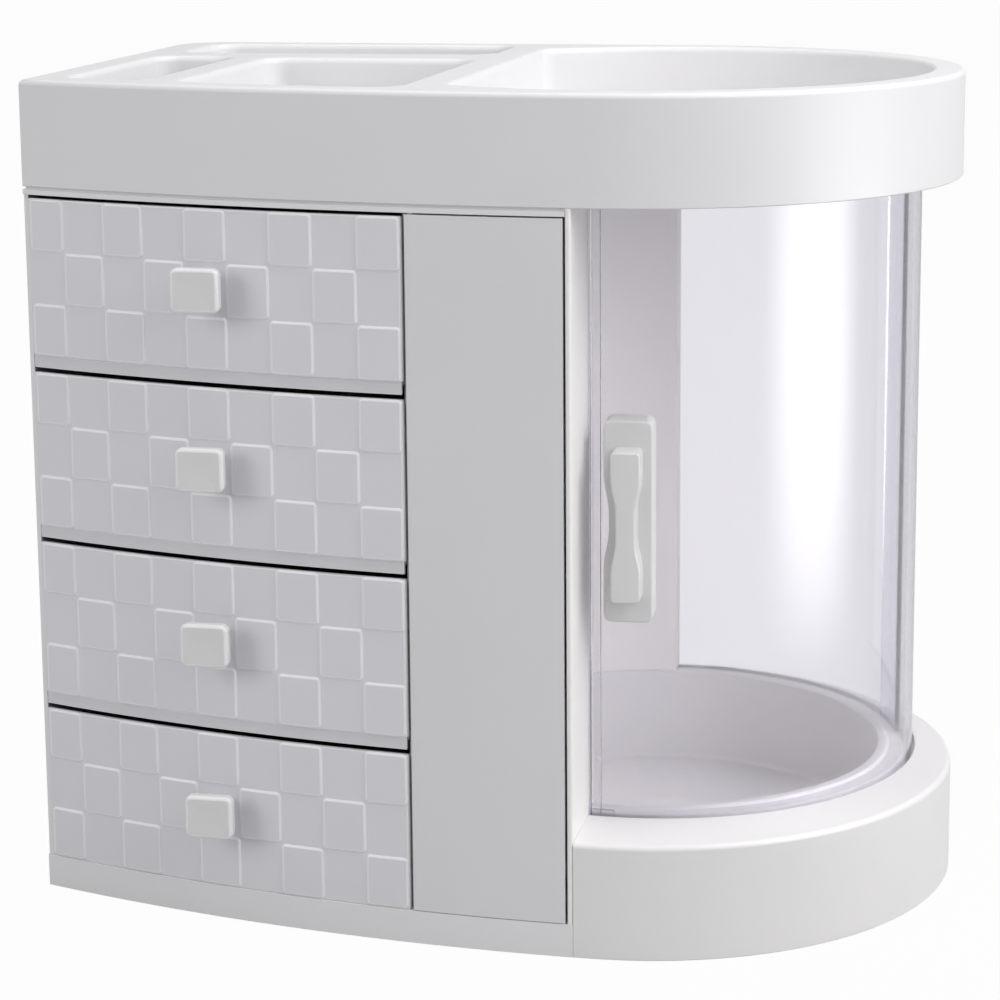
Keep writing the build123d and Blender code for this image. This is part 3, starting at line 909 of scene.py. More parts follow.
@dataclass
class Workshop:
    """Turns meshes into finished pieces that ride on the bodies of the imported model."""

    merge: float = 1e-7
    smooth_below: float = 38.0
    even_weight: int = 60
    flat_below: float = 0.4
    materials: dict[Finish, bpy.types.Material] = field(default_factory=dict)

    def dress(self, piece: bpy.types.Object, finish: Finish) -> None:
        """Adds a finish to a piece, after those that it has.

        Args:
            piece: the piece.
            finish: the finish.
        """
        if finish not in self.materials:
            self.materials[finish] = finish.value.material()
        piece.data.materials.append(self.materials[finish])

    def piece(
        self, name: str, mesh: Mesh, body: str, finish: Finish, stands_for: Sequence[str] = ()
    ) -> None:
        """Makes an object of a mesh, with soft shading and its finish, on a body.

        Args:
            name: name of the piece.
            mesh: its mesh, which is freed.
            body: the body that carries it.
            finish: its finish.
            stands_for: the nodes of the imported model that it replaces.
        """
        bmesh.ops.remove_doubles(mesh, verts=mesh.verts, dist=self.merge)
        bmesh.ops.recalc_face_normals(mesh, faces=mesh.faces)
        limit = math.radians(self.smooth_below)
        for face in mesh.faces:
            face.smooth = True
        for edge in mesh.edges:
            edge.smooth = len(edge.link_faces) == 2 and edge.calc_face_angle(0.0) < limit
        data = bpy.data.meshes.new(name)
        mesh.to_mesh(data)
        mesh.free()
        made = bpy.data.objects.new(name, data)
        bpy.context.scene.collection.objects.link(made)
        even = made.modifiers.new("even_shading", "WEIGHTED_NORMAL")
        even.keep_sharp = True
        even.weight = self.even_weight
        self.dress(made, finish)
        # Second slot: the painted highlight of the marked edge faces.
        if finish in PAINTED_HIGHLIGHT_OF:
            self.dress(made, PAINTED_HIGHLIGHT_OF[finish])
        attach(made, body)
        if stands_for:
            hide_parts(*stands_for)
        log.info("%s: %d faces on %s", name, len(data.polygons), body)

    def softened(self, part: KeptPart, trim: Callable[[Mesh], None] | None = None) -> None:
        """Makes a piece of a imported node's shape, with its sharp edges rounded.

        Args:
            part: the part.
            trim: changes the shape first, if given.
        """
        mesh = bmesh.new()
        mesh.from_mesh(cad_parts[part.node].data)
        bmesh.ops.remove_doubles(mesh, verts=mesh.verts, dist=SAME_PLACE)
        bmesh.ops.dissolve_limit(
            mesh, angle_limit=math.radians(self.flat_below), verts=mesh.verts, edges=mesh.edges,
            use_dissolve_boundaries=False,
        )
        if trim:
            trim(mesh)
        soften(mesh, part.width, mark=part.finish in PAINTED_HIGHLIGHT_OF)
        self.piece(part.name, mesh, part.body, part.finish, [part.node])


@dataclass
class SubAssembly:
    """A group of pieces that one workshop makes."""

    shop: Workshop


@dataclass
class TopTray(SubAssembly):
    """The tray moulding on top: an outer band and four sunk pockets."""

    band_wall: float = 0.0022
    edge: float = 0.002
    foot_edge: float = 0.0003
    rim: float = 0.0024
    floor: float = 0.268
    floor_round: float = 0.0015
    groove_depth: float = 0.001
    groove_end: float = 0.0395
    guides: tuple[tuple[float, float], ...] = ((0.0906, 0.0924), (0.0985, 0.1003))
    guide_overlap: float = 0.0001
    pockets: tuple[Plan, ...] = (
        BoxPlan(-0.1495, -0.1190, 0.015, 0.036, 0.009, 0.009),
        BoxPlan(-0.1040, -0.0225, 0.015, 0.030, 0.009, 0.009),
        RoundedPlan(-0.1465, -0.0225, 0.056, 0.104, 0.009, 8),
        RoundPocketPlan(),
    )

    def pocket(self, mesh: Mesh, plan: Plan) -> Loop:
        """Sinks one pocket.

        Args:
            mesh: the tray's mesh.
            plan: the pocket's plan.

        Returns:
            The contour of its rim in the top face.
        """
        top, low, r, foot = SIZES.height, self.floor, self.rim, self.floor_round
        profile = rounding((-r, top), (0, top), (0, top - r), steps=5)
        profile += rounding((0, low + foot), (0, low), (foot, low), steps=4)
        rim, floor = skin(mesh, plan, profile)
        cap(mesh, floor)
        return rim

    def build(self) -> None:
        """Builds the tray and the guides under it."""
        s = SIZES
        mesh = bmesh.new()
        bottom, top, e = s.band_bottom, s.height, self.edge
        profile = [(self.band_wall, s.ceiling), (self.band_wall, bottom)]
        profile += [(self.foot_edge, bottom), (0, bottom + self.foot_edge)]
        profile += rounding((0, top - e), (0, top), (e, top), steps=6)
        ceiling, rim = skin(mesh, WholePlan(), profile)
        cap(mesh, ceiling)
        cap(mesh, rim, *[self.pocket(mesh, plan) for plan in self.pockets])
        for inner, outer in self.guides:
            self.guide(mesh, inner, outer)
        self.groove(mesh)
        self.shop.piece("tray_moulding", mesh, "case", Finish.TRAY, ["top_tray"])

    def guide(self, mesh: Mesh, inner: float, outer: float) -> None:
        """Adds a curved rib under the tray that guides a panel's top edge.

        Args:
            mesh: the tray's mesh.
            inner: its inner radius.
            outer: its outer radius.
        """
        s = SIZES
        half = math.degrees(math.acos((s.seam_x - s.axis_x) / inner))
        plan = PanelPlan(inner, outer, -half, half)
        solid(mesh, plan, [(0, s.band_bottom), (0, s.ceiling + self.guide_overlap)])

    def groove(self, mesh: Mesh) -> None:
        """Adds the set-back lip that makes the shadow groove under the band.

        Args:
            mesh: the tray's mesh.
        """
        part = bmesh.new()
        outer, inner = (
            skin(part, WholePlan(), [(inset, SIZES.groove_top), (inset, SIZES.band_bottom)])
            for inset in (self.groove_depth, self.band_wall)
        )
        for first, second in zip(outer, inner):
            bmesh.ops.bridge_loops(part, edges=first + second)
        cut(part, (self.groove_end, 0, 0), (1, 0, 0))
        join(mesh, part)


@dataclass
class RoundBase(SubAssembly):
    """The base of the clear compartment: skirt, ledge, door channel and well."""

    edge: float = 0.002
    foot_edge: float = 0.0003
    channel_outer: float = 0.0985
    channel_inner: float = 0.0942
    channel_round: float = 0.0004
    rim_level: float = 0.043
    rim_step: float = 0.0009
    rim_round: float = 0.0006
    rim_run: float = 0.0008
    well: float = 0.0845
    floor: float = 0.006
    floor_round: float = 0.002
    lobe: float = 0.088
    chord_x: float = -0.0141
    seam_reach: float = 0.5 * MM
    sides: int = 192

    def revolve(self, mesh: Mesh, section: Profile, cut_x: float, stop_x: float = 1.0) -> None:
        """Spins a section round the compartment's axis and cuts it off at the left.

        Args:
            mesh: the mesh that gets the faces.
            section: radii and levels.
            cut_x: what lies left of this X is cut away.
            stop_x: what lies right of this X is cut away.
        """
        part = spin_section(section, (SIZES.axis_x, SIZES.axis_y, 0), (0, 0, 1), self.sides)
        bmesh.ops.remove_doubles(part, verts=part.verts, dist=SAME_PLACE)
        cut(part, (cut_x, 0, 0), (-1, 0, 0))
        cut(part, (stop_x, 0, 0), (1, 0, 0))
        join(mesh, part)

    def upright(self, mesh: Mesh, x: float, y0: float, y1: float, z0: float, z1: float) -> None:
        """Adds a flat upright wall across the body.

        Args:
            mesh: the mesh that gets the face.
            x: where it stands.
            y0: its front end.
            y1: its rear end.
            z0: its lower level.
            z1: its upper level.
        """
        place = Matrix.Translation((x, (y0 + y1) / 2, (z0 + z1) / 2))
        turn = Matrix.Rotation(math.radians(90), 4, "Y")
        whole = place @ turn @ Matrix.Diagonal((z1 - z0, y1 - y0, 1, 1))
        bmesh.ops.create_grid(mesh, x_segments=1, y_segments=1, size=0.5, matrix=whole)

    def channel(self) -> Profile:
        """Section from the ledge through the door channel to the lobe of the rim.

        Returns:
            Its radii and levels.
        """
        top, bottom, lip = SIZES.base_top, SIZES.channel_floor, self.rim_level - self.rim_step
        outer, inner = self.channel_outer, self.channel_inner
        r, edge = self.channel_round, self.rim_round
        section = rounding((outer + r, top), (outer, top), (outer, top - r), steps=3)
        section += [(outer, bottom), (inner, bottom)]
        section += rounding((inner, lip - edge), (inner, lip), (inner - edge, lip), steps=4)
        return section + [(self.lobe + self.rim_run, lip), (self.lobe, self.rim_level)]

    def bowl(self) -> Profile:
        """Section from the lobe of the rim through the well to its middle.

        Returns:
            Its radii and levels.
        """
        well, rim, floor = self.well, self.rim_level, self.floor
        r, edge = self.floor_round, self.rim_round
        section = [(self.lobe, rim)]
        section += rounding((well + edge, rim), (well, rim), (well, rim - edge), steps=4)
        section += rounding((well, floor + r), (well, floor), (well - r, floor), steps=5)
        return section + [(0.0, floor)]

    def build(self) -> None:
        """Builds the base."""
        s = SIZES
        mesh = bmesh.new()
        top, e, rim = s.base_top, self.edge, self.rim_level
        profile = [(self.foot_edge, s.foot), (0, s.foot + self.foot_edge)]
        profile += rounding((0, top - e), (0, top), (e, top), steps=6)
        foot, _ = skin(mesh, EndPlan(), profile)
        cap(mesh, foot)
        limit = s.seam_x + self.seam_reach
        inner = [face for face in mesh.faces if all(vert.co.x < limit for vert in face.verts)]
        bmesh.ops.delete(mesh, geom=inner, context="FACES_ONLY")
        cap(mesh, LedgePlan(self.channel_outer + self.channel_round).trace(mesh, e, top))
        self.revolve(mesh, self.channel(), s.seam_x)
        self.revolve(mesh, [(self.lobe, s.foot), (self.lobe, rim)], self.chord_x, s.seam_x)
        self.revolve(mesh, self.bowl(), self.chord_x)
        rise = math.sqrt(self.well**2 - (self.chord_x - s.axis_x) ** 2)
        self.upright(mesh, self.chord_x, s.axis_y - rise, s.axis_y + rise, self.floor, rim)
        rise = math.sqrt(self.lobe**2 - (s.seam_x - s.axis_x) ** 2)
        self.upright(mesh, s.seam_x, s.front(s.seam_x), s.axis_y - rise, s.foot, top - e)
        self.upright(mesh, s.seam_x, s.axis_y + rise, s.back, s.foot, top - e)
        self.shop.piece("base_ring", mesh, "case", Finish.BASE, ["round_base"])


def face_on(x: float, z: float) -> Matrix:
    """Matrix that stands a flat drawing on the bowed front, its height towards the front."""
    turn = Matrix.Rotation(math.radians(90), 4, "X")
    return Matrix.Translation((x, SIZES.front(x), z)) @ turn


@dataclass
class Drawer(SubAssembly):
    """One drawer: front plate with raised cells, box with stop tabs, knob and its screw."""

    number: int
    level: float
    left: float = -0.16163
    right: float = -0.01725
    bottom_gap: float = 0.0001
    front_height: float = 0.0568
    front_foot_round: float = 0.0004
    front_top_round: float = 0.0007
    right_round: float = 0.001
    left_round: float = 0.0003
    plate: float = 0.0020
    relief: float = 0.0006
    cell: float = 0.0162
    columns: int = 9
    rows: int = 3
    gap: float = 0.00035
    row_gap: float = 0.0002
    cell_corner: float = 0.0014
    cell_skirt: float = 0.0003
    left_margin: float = 0.0007
    right_margin: float = 0.0005
    cell_slope: float = 0.1 * MM
    cell_round: float = 0.7 * MM
    edge_reach: float = 0.1 * MM
    bow_steps: int = 24
    box_left: float = -0.1612
    box_right: float = -0.0184
    lift: float = 0.0003
    box_height: float = 0.046
    box_wall: float = 0.0016
    box_floor: float = 0.0018
    floor_round: float = 0.0015
    box_edge: tuple[tuple[float, float], ...] = ((0.0008, 0), (0.0002, 0.0002), (0, 0.0008))
    rear: float = 0.1102
    rear_radius: float = 0.018
    tab_apart: float = 0.035
    tab_size: tuple[float, float] = (0.012, 0.0115)
    tab_rise: float = 0.0055
    tab_round: float = 0.0004
    knob_plan: RoundedPlan = RoundedPlan.centred(0.0174, 0.0156, 0.0026, 8)
    knob_reach: float = 0.013
    knob_rise: float = 0.0014
    knob_head: float = 0.0045
    knob_back_round: float = 0.0009
    knob_face_round: float = 0.0012
    knob_crown: tuple[tuple[float, float], ...] = ((0.0035, 0.00008), (0.0062, 0.00022))
    knob_painted_highlight_band: float = 0.0013
    stem_plan: RoundedPlan = RoundedPlan.centred(0.0105, 0.009, 0.0012, 4)
    stem_foot: tuple[tuple[float, float], ...] = ((0.0004, -0.0004), (0, 0.0008))
    stem_overlap: float = 0.0004
    stem_reach: float = 1.0 * MM
    screw_flat: float = 0.0028
    screw_head: float = 0.0016
    screw_bevel: tuple[float, float] = (0.0005, 0.0004)
    screw_shank: float = 0.00145
    screw_reach: float = 0.005
    screw_gap: float = 0.00005
    screw_overlap: float = 0.0002
    head_sides: int = 6
    shank_sides: int = 20

    @property
    def body(self) -> str:
        """Name of the body that carries the drawer."""
        return f"drawer_{self.number}"

    @property
    def knob_x(self) -> float:
        """X of the knob's middle."""
        return self.right - self.columns * self.cell / 2

    @property
    def knob_z(self) -> float:
        """Level of the knob's middle."""
        return self.level + self.front_height / 2 + self.knob_rise

    def front(self) -> None:
        """Builds the front plate with its checker of raised cells."""
        mesh = bmesh.new()
        low, top = self.level + self.bottom_gap, self.level + self.front_height
        foot_round, r = self.front_foot_round, self.front_top_round
        plan = BowStripPlan(
            self.left, self.right, self.relief, self.relief + self.plate, self.right_round,
            self.left_round, self.bow_steps,
        )
        profile = rounding((foot_round, low), (0, low), (0, low + foot_round), steps=3)
        profile += rounding((0, top - r), (0, top), (r, top), steps=4)
        foot, head = skin(mesh, plan, profile)
        # Painted highlight on the top and bottom roundings and the rounded right end.
        for side in mesh.faces:
            levels = [vert.co.z for vert in side.verts]
            ends = max(levels) > top - r + SAME_PLACE or min(levels) < low + self.edge_reach
            at_right = side.calc_center_median().x > self.right - self.right_round
            side.material_index = int(ends or at_right)
        cap(mesh, foot)
        cap(mesh, head)
        row_height = (self.front_height - self.bottom_gap) / self.rows
        for row in range(self.rows):
            for column in range(self.columns):
                if (row - self.rows // 2 + column - self.columns // 2) % 2:
                    self.raised_cell(mesh, column, low + (row + 0.5) * row_height, row_height)
        name = f"drawer_front_plate_{self.number}"
        self.shop.piece(name, mesh, self.body, Finish.FRONT, [f"drawer_front_{self.number}"])

    def raised_cell(self, mesh: Mesh, column: int, z: float, row_height: float) -> None:
        """Adds one raised cell that follows the bow.

        Args:
            mesh: the front's mesh.
            column: its column from the left.
            z: level of its middle.
            row_height: height of its row.
        """
        x1 = self.right - (self.columns - 1 - column) * self.cell
        x0 = max(x1 - self.cell, self.left)
        x0, x1 = max(x0, self.left + self.left_margin), min(x1, self.right - self.right_margin)
        part = bmesh.new()
        plan = RoundedPlan.centred(
            x1 - x0 - self.gap, row_height - self.gap - self.row_gap, self.cell_corner, 4
        )
        top, skirt, slope = self.relief, self.cell_skirt, self.cell_slope
        profile = [(-skirt, -skirt), (-skirt, 0.0)]
        profile += rounding((-slope, slope), (slope, top), (self.cell_round, top), steps=3)
        _, face = skin(part, plan, profile)
        # Painted highlight on every side of the raised cell.
        for side in part.faces:
            side.material_index = 1
        cap(part, face)
        middle = (x0 + x1) / 2
        for vert in part.verts:
            x = middle + vert.co.x
            vert.co = (x, SIZES.front(x, self.relief) - vert.co.z, z + vert.co.y)
        join(mesh, part)

    def box(self) -> None:
        """Builds the open box and its stop tabs."""
        mesh = bmesh.new()
        low = self.level + self.lift
        top, floor = low + self.box_height, low + self.box_floor
        w, r = self.box_wall, self.floor_round
        plan = BoxPlan(
            self.box_left, self.box_right, self.relief + self.plate, self.rear, self.rear_radius
        )
        profile = [(inset, low + rise) for inset, rise in self.box_edge]
        profile += rounding((0, top - w / 2), (0, top), (w / 2, top), steps=3)
        profile += rounding((w / 2, top), (w, top), (w, top - w / 2), steps=3)[1:]
        profile += rounding((w, floor + r), (w, floor), (w + r, floor), steps=4)
        solid(mesh, plan, profile)
        name = f"drawer_tub_{self.number}"
        self.shop.piece(name, mesh, self.body, Finish.CASE, [f"drawer_box_{self.number}"])
        tabs = bmesh.new()
        size = Matrix.Diagonal((self.tab_size[0], w, self.tab_size[1], 1))
        for side in (-1, 1):
            x = self.knob_x + side * self.tab_apart
            place = Matrix.Translation((x, self.rear - w / 2, top + self.tab_rise))
            bmesh.ops.create_cube(tabs, size=1, matrix=place @ size)
        soften(tabs, self.tab_round)
        self.shop.piece(f"drawer_stop_tabs_{self.number}", tabs, self.body, Finish.CASE)

    def knob(self) -> None:
        """Builds the pillow knob on its stem."""
        mesh = bmesh.new()
        plan, face, band = self.knob_plan, self.knob_reach, self.knob_painted_highlight_band
        r, edge, back = self.knob_back_round, self.knob_face_round, face - self.knob_head
        profile = rounding((r, back), (0, back), (0, back + r), steps=3)
        profile += rounding((0, face - edge), (0, face), (edge, face), steps=5)
        profile += [(inset, face - dip) for inset, dip in self.knob_crown]
        rear, front = skin(mesh, plan, profile)
        # Painted highlight on the knob's rounded front edge, within a band of its rim.
        for side in mesh.faces:
            middle = side.calc_center_median()
            near = max(abs(middle.x) - plan.x1, abs(middle.y) - plan.y1) > -band
            side.material_index = int(near and middle.z > face - band)
        cap(mesh, rear)
        cap(mesh, front)
        solid(mesh, self.stem_plan, [*self.stem_foot, (0, back + self.stem_overlap)])
        middle = SIZES.front(self.knob_x)
        for vert in mesh.verts:
            if vert.co.z < self.stem_reach:
                vert.co.z -= SIZES.front(self.knob_x + vert.co.x, self.relief) - middle
        bmesh.ops.transform(mesh, matrix=face_on(self.knob_x, self.knob_z), verts=mesh.verts)
        name = f"pillow_knob_{self.number}"
        self.shop.piece(name, mesh, self.body, Finish.KNOB, [f"drawer_knob_{self.number}"])

    def screw(self) -> None:
        """Builds the screw that holds the knob: a hexagon head inside the drawer, and its shank."""
        mesh = bmesh.new()
        behind = self.relief + self.plate + self.box_wall
        seat = SIZES.front(self.knob_x - self.screw_flat, behind) + self.screw_gap
        tip = SIZES.front(self.knob_x) - self.screw_reach
        corner, top = self.screw_flat / math.cos(math.pi / self.head_sides), seat + self.screw_head
        across, along = self.screw_bevel
        bevel = [(corner - across, top), (corner, top - along)]
        head = [(0.0, top), *bevel, (corner, seat), (0.0, seat)]
        end, thick = seat + self.screw_overlap, self.screw_shank
        shank = [(0.0, end), (thick, end), (thick, tip), (0.0, tip)]
        for section, sides in ((head, self.head_sides), (shank, self.shank_sides)):
            join(mesh, spin_section(section, (0, 0, 0), (0, 1, 0), sides))
        bmesh.ops.transform(
            mesh, matrix=Matrix.Translation((self.knob_x, 0, self.knob_z)), verts=mesh.verts
        )
        name = f"hexagon_screw_{self.number}"
        self.shop.piece(name, mesh, self.body, Finish.STEEL, [f"knob_screw_{self.number}"])

    def build(self) -> None:
        """Builds all pieces of the drawer."""
        self.front()
        self.box()
        self.knob()
        self.screw()


@dataclass(frozen=True)
class ClearPanel:
    """One curved clear panel, the node that it replaces and the body that carries it."""

    name: str
    node: str
    body: str
    plan: PanelPlan
    low: float
    top: float


@dataclass(frozen=True)
class HandlePart:
    """One part of the sliding door's handle, whose sides draw in at its middle."""

    name: str
    node: str
    plan: RoundedPlan
    foot: tuple[tuple[float, float], ...]
    edge: tuple[tuple[float, float], ...]
    waist: float
    end: float
    depth: float
    slices: int
    on_door: bool
    sliced_height: float = 0.040
    middle: float = 0.003
    edge_steps: int = 4

    def cut_slices(self, mesh: Mesh) -> None:
        """Cuts the part into level slices so that its sides can bend.

        Args:
            mesh: the drawing.
        """
        for step in range(1, self.slices):
            level = -self.sliced_height / 2 + self.sliced_height * step / self.slices
            cut(mesh, (0, level, 0), (0, 1, 0), clear=False)

    def draw_in(self, mesh: Mesh) -> None:
        """Draws the sides in; of the part that lies on the door, only the left one.

        Args:
            mesh: the drawing.
        """
        for vert in mesh.verts:
            share = min(1.0, max(0.0, (abs(vert.co.y) - self.waist) / (self.end - self.waist)))
            pull = self.depth * 0.5 * (1 + math.cos(math.pi * share))
            if vert.co.x < -self.middle:
                vert.co.x += pull
            elif vert.co.x > self.middle and not self.on_door:
                vert.co.x -= pull

    def drawing(self) -> Mesh:
        """Draws the part flat, about the origin.

        Returns:
            Its mesh, with its height pointing away from the door.
        """
        mesh = bmesh.new()
        solid(mesh, self.plan, [*self.foot, *rounding(*self.edge, self.edge_steps)])
        self.cut_slices(mesh)
        self.draw_in(mesh)
        return mesh


@dataclass
class ClearCompartment(SubAssembly):
    """The clear panels round the compartment, and the sliding door's handle."""

    door_outer: float = 0.0975
    foot_reach: float = 0.5 * MM
    edge: float = 0.0005
    handle_angle: float = -86.4
    handle_level: float = 0.1514
    body: str = "sliding_door"
    panels: tuple[ClearPanel, ...] = (
        ClearPanel(
            "clear_sliding_door", "clear_door", "sliding_door",
            PanelPlan(0.0955, 0.0975, -95.09, 28.0, 120, 0.0036), 0.0391, 0.2654,
        ),
        ClearPanel(
            "clear_rear_panel", "clear_back_panel", "case",
            PanelPlan(0.0926, 0.0946, 12.0, 93.2, 80), 0.0388, 0.2658,
        ),
        ClearPanel(
            "clear_shoe", "clear_door_foot", "sliding_door",
            PanelPlan(0.0975, 0.0983, -94.6, -89.9, 6), 0.0391, 0.0443,
        ),
    )
    handle: tuple[HandlePart, ...] = (
        HandlePart(
            "handle_block", "door_handle_block", RoundedPlan.centred(0.0173, 0.0712, 0.0028, 6),
            ((0, 0.0), (0.0001, 0.002)), ((0.0001, 0.0102), (0.0001, 0.011), (0.0009, 0.011)),
            0.003, 0.017, 0.0019, 20, True,
        ),
        HandlePart(
            "handle_grip", "door_handle_grip", RoundedPlan.centred(0.0104, 0.053, 0.0017, 5),
            ((0, 0.0108), (0.0001, 0.013)), ((0.0001, 0.0197), (0.0001, 0.0205), (0.0009, 0.0205)),
            0.005, 0.0165, 0.0017, 32, False,
        ),
    )

    def panel(self, panel: ClearPanel) -> None:
        """Builds one panel with rounded edges.

        Args:
            panel: the panel.
        """
        mesh = bmesh.new()
        solid(mesh, panel.plan, [(0, panel.low), (0, panel.top)])
        soften(mesh, self.edge, segments=3)
        self.shop.piece(panel.name, mesh, panel.body, Finish.CLEAR, [panel.node])

    def handle_part(self, part: HandlePart) -> None:
        """Builds one part of the handle in its place on the door.

        Args:
            part: the part.
        """
        mesh = part.drawing()
        if part.on_door:
            for vert in mesh.verts:
                if vert.co.z < self.foot_reach:
                    vert.co.z = math.sqrt(self.door_outer**2 - vert.co.x**2) - self.door_outer
        turn = math.radians(self.handle_angle)
        out = Vector((math.cos(turn), math.sin(turn), 0))
        across = Vector((-math.sin(turn), math.cos(turn), 0))
        place = Matrix((across, Vector((0, 0, 1)), out)).transposed().to_4x4()
        centre = Vector((SIZES.axis_x, SIZES.axis_y, self.handle_level)) + out * self.door_outer
        bmesh.ops.transform(mesh, matrix=Matrix.Translation(centre) @ place, verts=mesh.verts)
        self.shop.piece(part.name, mesh, self.body, Finish.KNOB, [part.node])

    def build(self) -> None:
        """Builds the panels, the small clear shoe and the handle."""
        for panel in self.panels:
            self.panel(panel)
        for part in self.handle:
            self.handle_part(part)


@dataclass
class Case(SubAssembly):
    """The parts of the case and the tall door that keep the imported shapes, with rounded edges."""

    parts: tuple[KeptPart, ...] = (
        KeptPart("plinth", "plinth_moulding", Finish.CASE, 0.0004),
        KeptPart("body_shell", "side_and_back_sheet", Finish.CASE, 0.00015),
        KeptPart("divider_wall", "divider_sheet", Finish.CASE, 0.0004),
        KeptPart("compartment_wall", "curved_wall_moulding", Finish.WALL, 0.0003),
        KeptPart("top_frame", "top_rail_frame", Finish.CASE, 0.0003),
        KeptPart("cupboard_door", "tall_door_panel", Finish.DOOR, 0.0005, "tall_door"),
        KeptPart("cupboard_rack", "shelf_rack", Finish.CASE, 0.0003),
        KeptPart("drawer_board_1", "board_under_drawer_1", Finish.BOARD, 0.0003),
        KeptPart("drawer_board_2", "board_under_drawer_2", Finish.BOARD, 0.0003),
        KeptPart("drawer_board_3", "board_under_drawer_3", Finish.BOARD, 0.0003),
        KeptPart("foot_pads", "soft_pads", Finish.PAD, 0.0003),
    )
    trimmed: str = "body_shell"
    reach: float = 2 * MM
    set_back: float = 0.0010

    def trim_side(self, mesh: Mesh) -> None:
        """Sets the left side's front edge back, so that the drawers' cells stand out.

        Args:
            mesh: the mesh of the side and back sheet.
        """
        s = SIZES
        for vert in mesh.verts:
            if vert.co.x < s.left + self.reach and vert.co.y < s.front(s.left) + self.reach:
                vert.co.y += self.set_back

    def build(self) -> None:
        """Builds the parts."""
        for part in self.parts:
            self.shop.softened(part, self.trim_side if part.node == self.trimmed else None)


@dataclass(frozen=True)
class Lamp:
    """A soft rectangular lamp; a card fades towards its edges and only shows in gloss."""

    name: str
    place: Triple
    aim: Triple
    width: float
    height: float
    power: float
    card: bool = False

    def fade(self, data: bpy.types.Light) -> None:
        """Lets the light fade towards the edges.

        Args:
            data: the lamp's data.
        """
        data.use_nodes = True
        graph = Graph(data.node_tree)
        spot = graph.node("ShaderNodeNewGeometry").outputs["Parametric"]
        split = graph.node("ShaderNodeSeparateXYZ", None, {0: spot}).outputs
        across, along = Signal(graph, split[0]), Signal(graph, split[1])
        hump = across * (1.0 - across) * 4.0
        strength = hump * hump * along * (1.0 - along) * 4.0
        glow = graph.node("ShaderNodeEmission", None, {"Strength": strength})
        graph.node("ShaderNodeOutputLight", None, {"Surface": glow.outputs[0]})

    def build(self) -> None:
        """Hangs the lamp in the studio."""
        data = bpy.data.lights.new(self.name, "AREA")
        data.shape = "RECTANGLE"
        data.size, data.size_y, data.energy = self.width, self.height, self.power
        if self.card:
            self.fade(data)
        made = bpy.data.objects.new(self.name, data)
        made.location = self.place
        made.rotation_mode = "QUATERNION"
        made.rotation_quaternion = (Vector(self.aim) - Vector(self.place)).to_track_quat("-Z", "Y")
        made.visible_diffuse = not self.card
        bpy.context.scene.collection.objects.link(made)


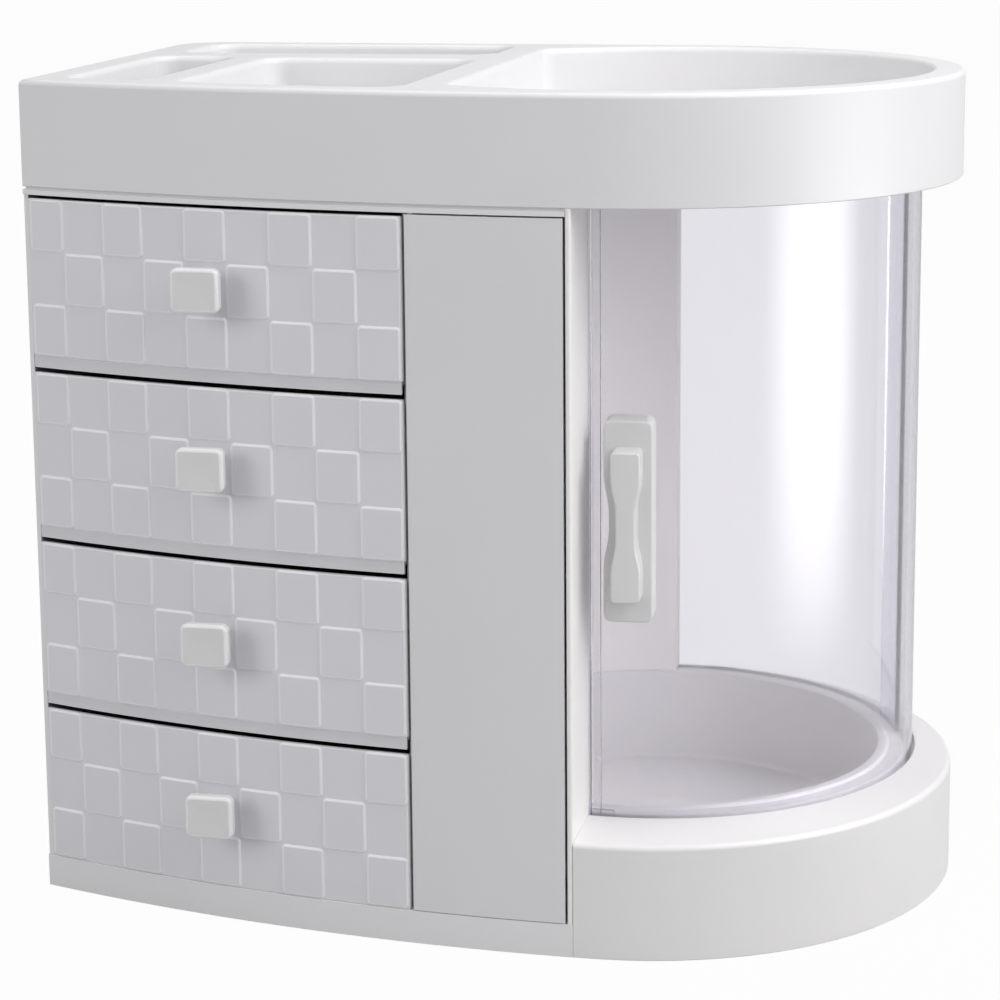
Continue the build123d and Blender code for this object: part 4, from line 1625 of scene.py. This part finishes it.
@dataclass(frozen=True)
class Studio:
    """Floor, lamps, world and camera."""

    lamps: tuple[Lamp, ...] = (
        Lamp("key", (-1.15, -1.15, 0.78), (-0.05, -0.08, 0.18), 0.75, 0.75, 6.3),
        Lamp("right_strip", (0.36, -0.10, 0.18), (0.12, -0.055, 0.18), 0.30, 0.32, 1.6, True),
        Lamp("right_side", (0.95, -0.45, 0.75), (0.05, 0, 0.15), 0.8, 0.7, 4.4),
        Lamp("right_high", (0.95, -0.10, 1.25), (0.05, 0, 0.15), 1.1, 1.1, 10.5),
        Lamp("top", (0.05, 0.15, 1.5), (0, 0, 0.25), 2.0, 1.8, 8.0),
    )
    eye: Triple = (0.21832, -1.05339, 0.38192)
    azimuth: float = 12.095
    elevation: float = 10.912
    roll: float = -0.482
    lens: float = 104.68
    sensor: float = 36.0
    shift: float = -0.1
    floor_size: float = 6.0
    floor_grey: float = 0.46
    floor_white: float = 0.97
    floor_gloss_share: float = 0.5
    soft_colour: Triple = (0.98, 0.98, 1.0)
    soft_strength: float = 0.40

    def floor(self) -> None:
        """Lays the pale floor, which is plain white where the camera sees it."""
        mesh = bmesh.new()
        bmesh.ops.create_grid(mesh, x_segments=1, y_segments=1, size=self.floor_size)
        data = bpy.data.meshes.new("studio_floor")
        mesh.to_mesh(data)
        mesh.free()
        made = bpy.data.objects.new("studio_floor", data)
        bpy.context.scene.collection.objects.link(made)
        material, graph = new_material("floor_white")
        lit = graph.node("ShaderNodeBsdfDiffuse", None, {"Color": (*[self.floor_grey] * 3, 1)})
        camera, through, gloss = graph.rays(
            "Is Camera Ray", "Is Transmission Ray", "Is Glossy Ray"
        )
        seen = (camera + through + gloss * self.floor_gloss_share) * self.floor_white
        plain = graph.node("ShaderNodeEmission", None, {"Color": (1, 1, 1, 1), "Strength": 1.0})
        surface = graph.mixed(seen, lit, plain)
        graph.node("ShaderNodeOutputMaterial", None, {"Surface": surface})
        made.data.materials.append(material)

    def world(self) -> None:
        """Sets the soft surrounding light and the white background."""
        made = bpy.data.worlds.new("studio")
        bpy.context.scene.world = made
        made.use_nodes = True
        graph = Graph(made.node_tree)
        light = {"Color": (*self.soft_colour, 1), "Strength": self.soft_strength}
        soft = graph.node("ShaderNodeBackground", None, light)
        plain = graph.node("ShaderNodeBackground", None, {"Color": (1, 1, 1, 1), "Strength": 1.0})
        camera, through = graph.rays("Is Camera Ray", "Is Transmission Ray")
        surface = graph.mixed(camera + through, soft, plain)
        graph.node("ShaderNodeOutputWorld", None, {"Surface": surface})

    def camera(self) -> None:
        """Sets the camera where the photograph was taken from."""
        data = bpy.data.cameras.new("camera")
        data.lens, data.sensor_width, data.shift_y = self.lens, self.sensor, self.shift
        made = bpy.data.objects.new("camera", data)
        a, e = math.radians(self.azimuth), math.radians(self.elevation)
        back = Vector((math.sin(a) * math.cos(e), -math.cos(a) * math.cos(e), math.sin(e)))
        right = Vector((math.cos(a), math.sin(a), 0))
        up = back.cross(right)
        c, s = math.cos(math.radians(self.roll)), math.sin(math.radians(self.roll))
        turned = (c * right + s * up, -s * right + c * up, back)
        made.matrix_world = Matrix.Translation(self.eye) @ Matrix(turned).transposed().to_4x4()
        bpy.context.scene.collection.objects.link(made)
        bpy.context.scene.camera = made

    def build(self) -> None:
        """Sets up the studio."""
        self.floor()
        self.world()
        for lamp in self.lamps:
            lamp.build()
        self.camera()
        bpy.context.scene.view_settings.view_transform = "Standard"


def main() -> None:
    """Builds the organizer and its studio."""
    shop = Workshop()
    TopTray(shop).build()
    RoundBase(shop).build()
    for row in range(SIZES.drawer_count):
        level = SIZES.lowest_drawer + row * SIZES.drawer_pitch
        Drawer(shop, SIZES.drawer_count - row, level).build()
    ClearCompartment(shop).build()
    Case(shop).build()
    Studio().build()


if __name__ == "__main__":
    main()
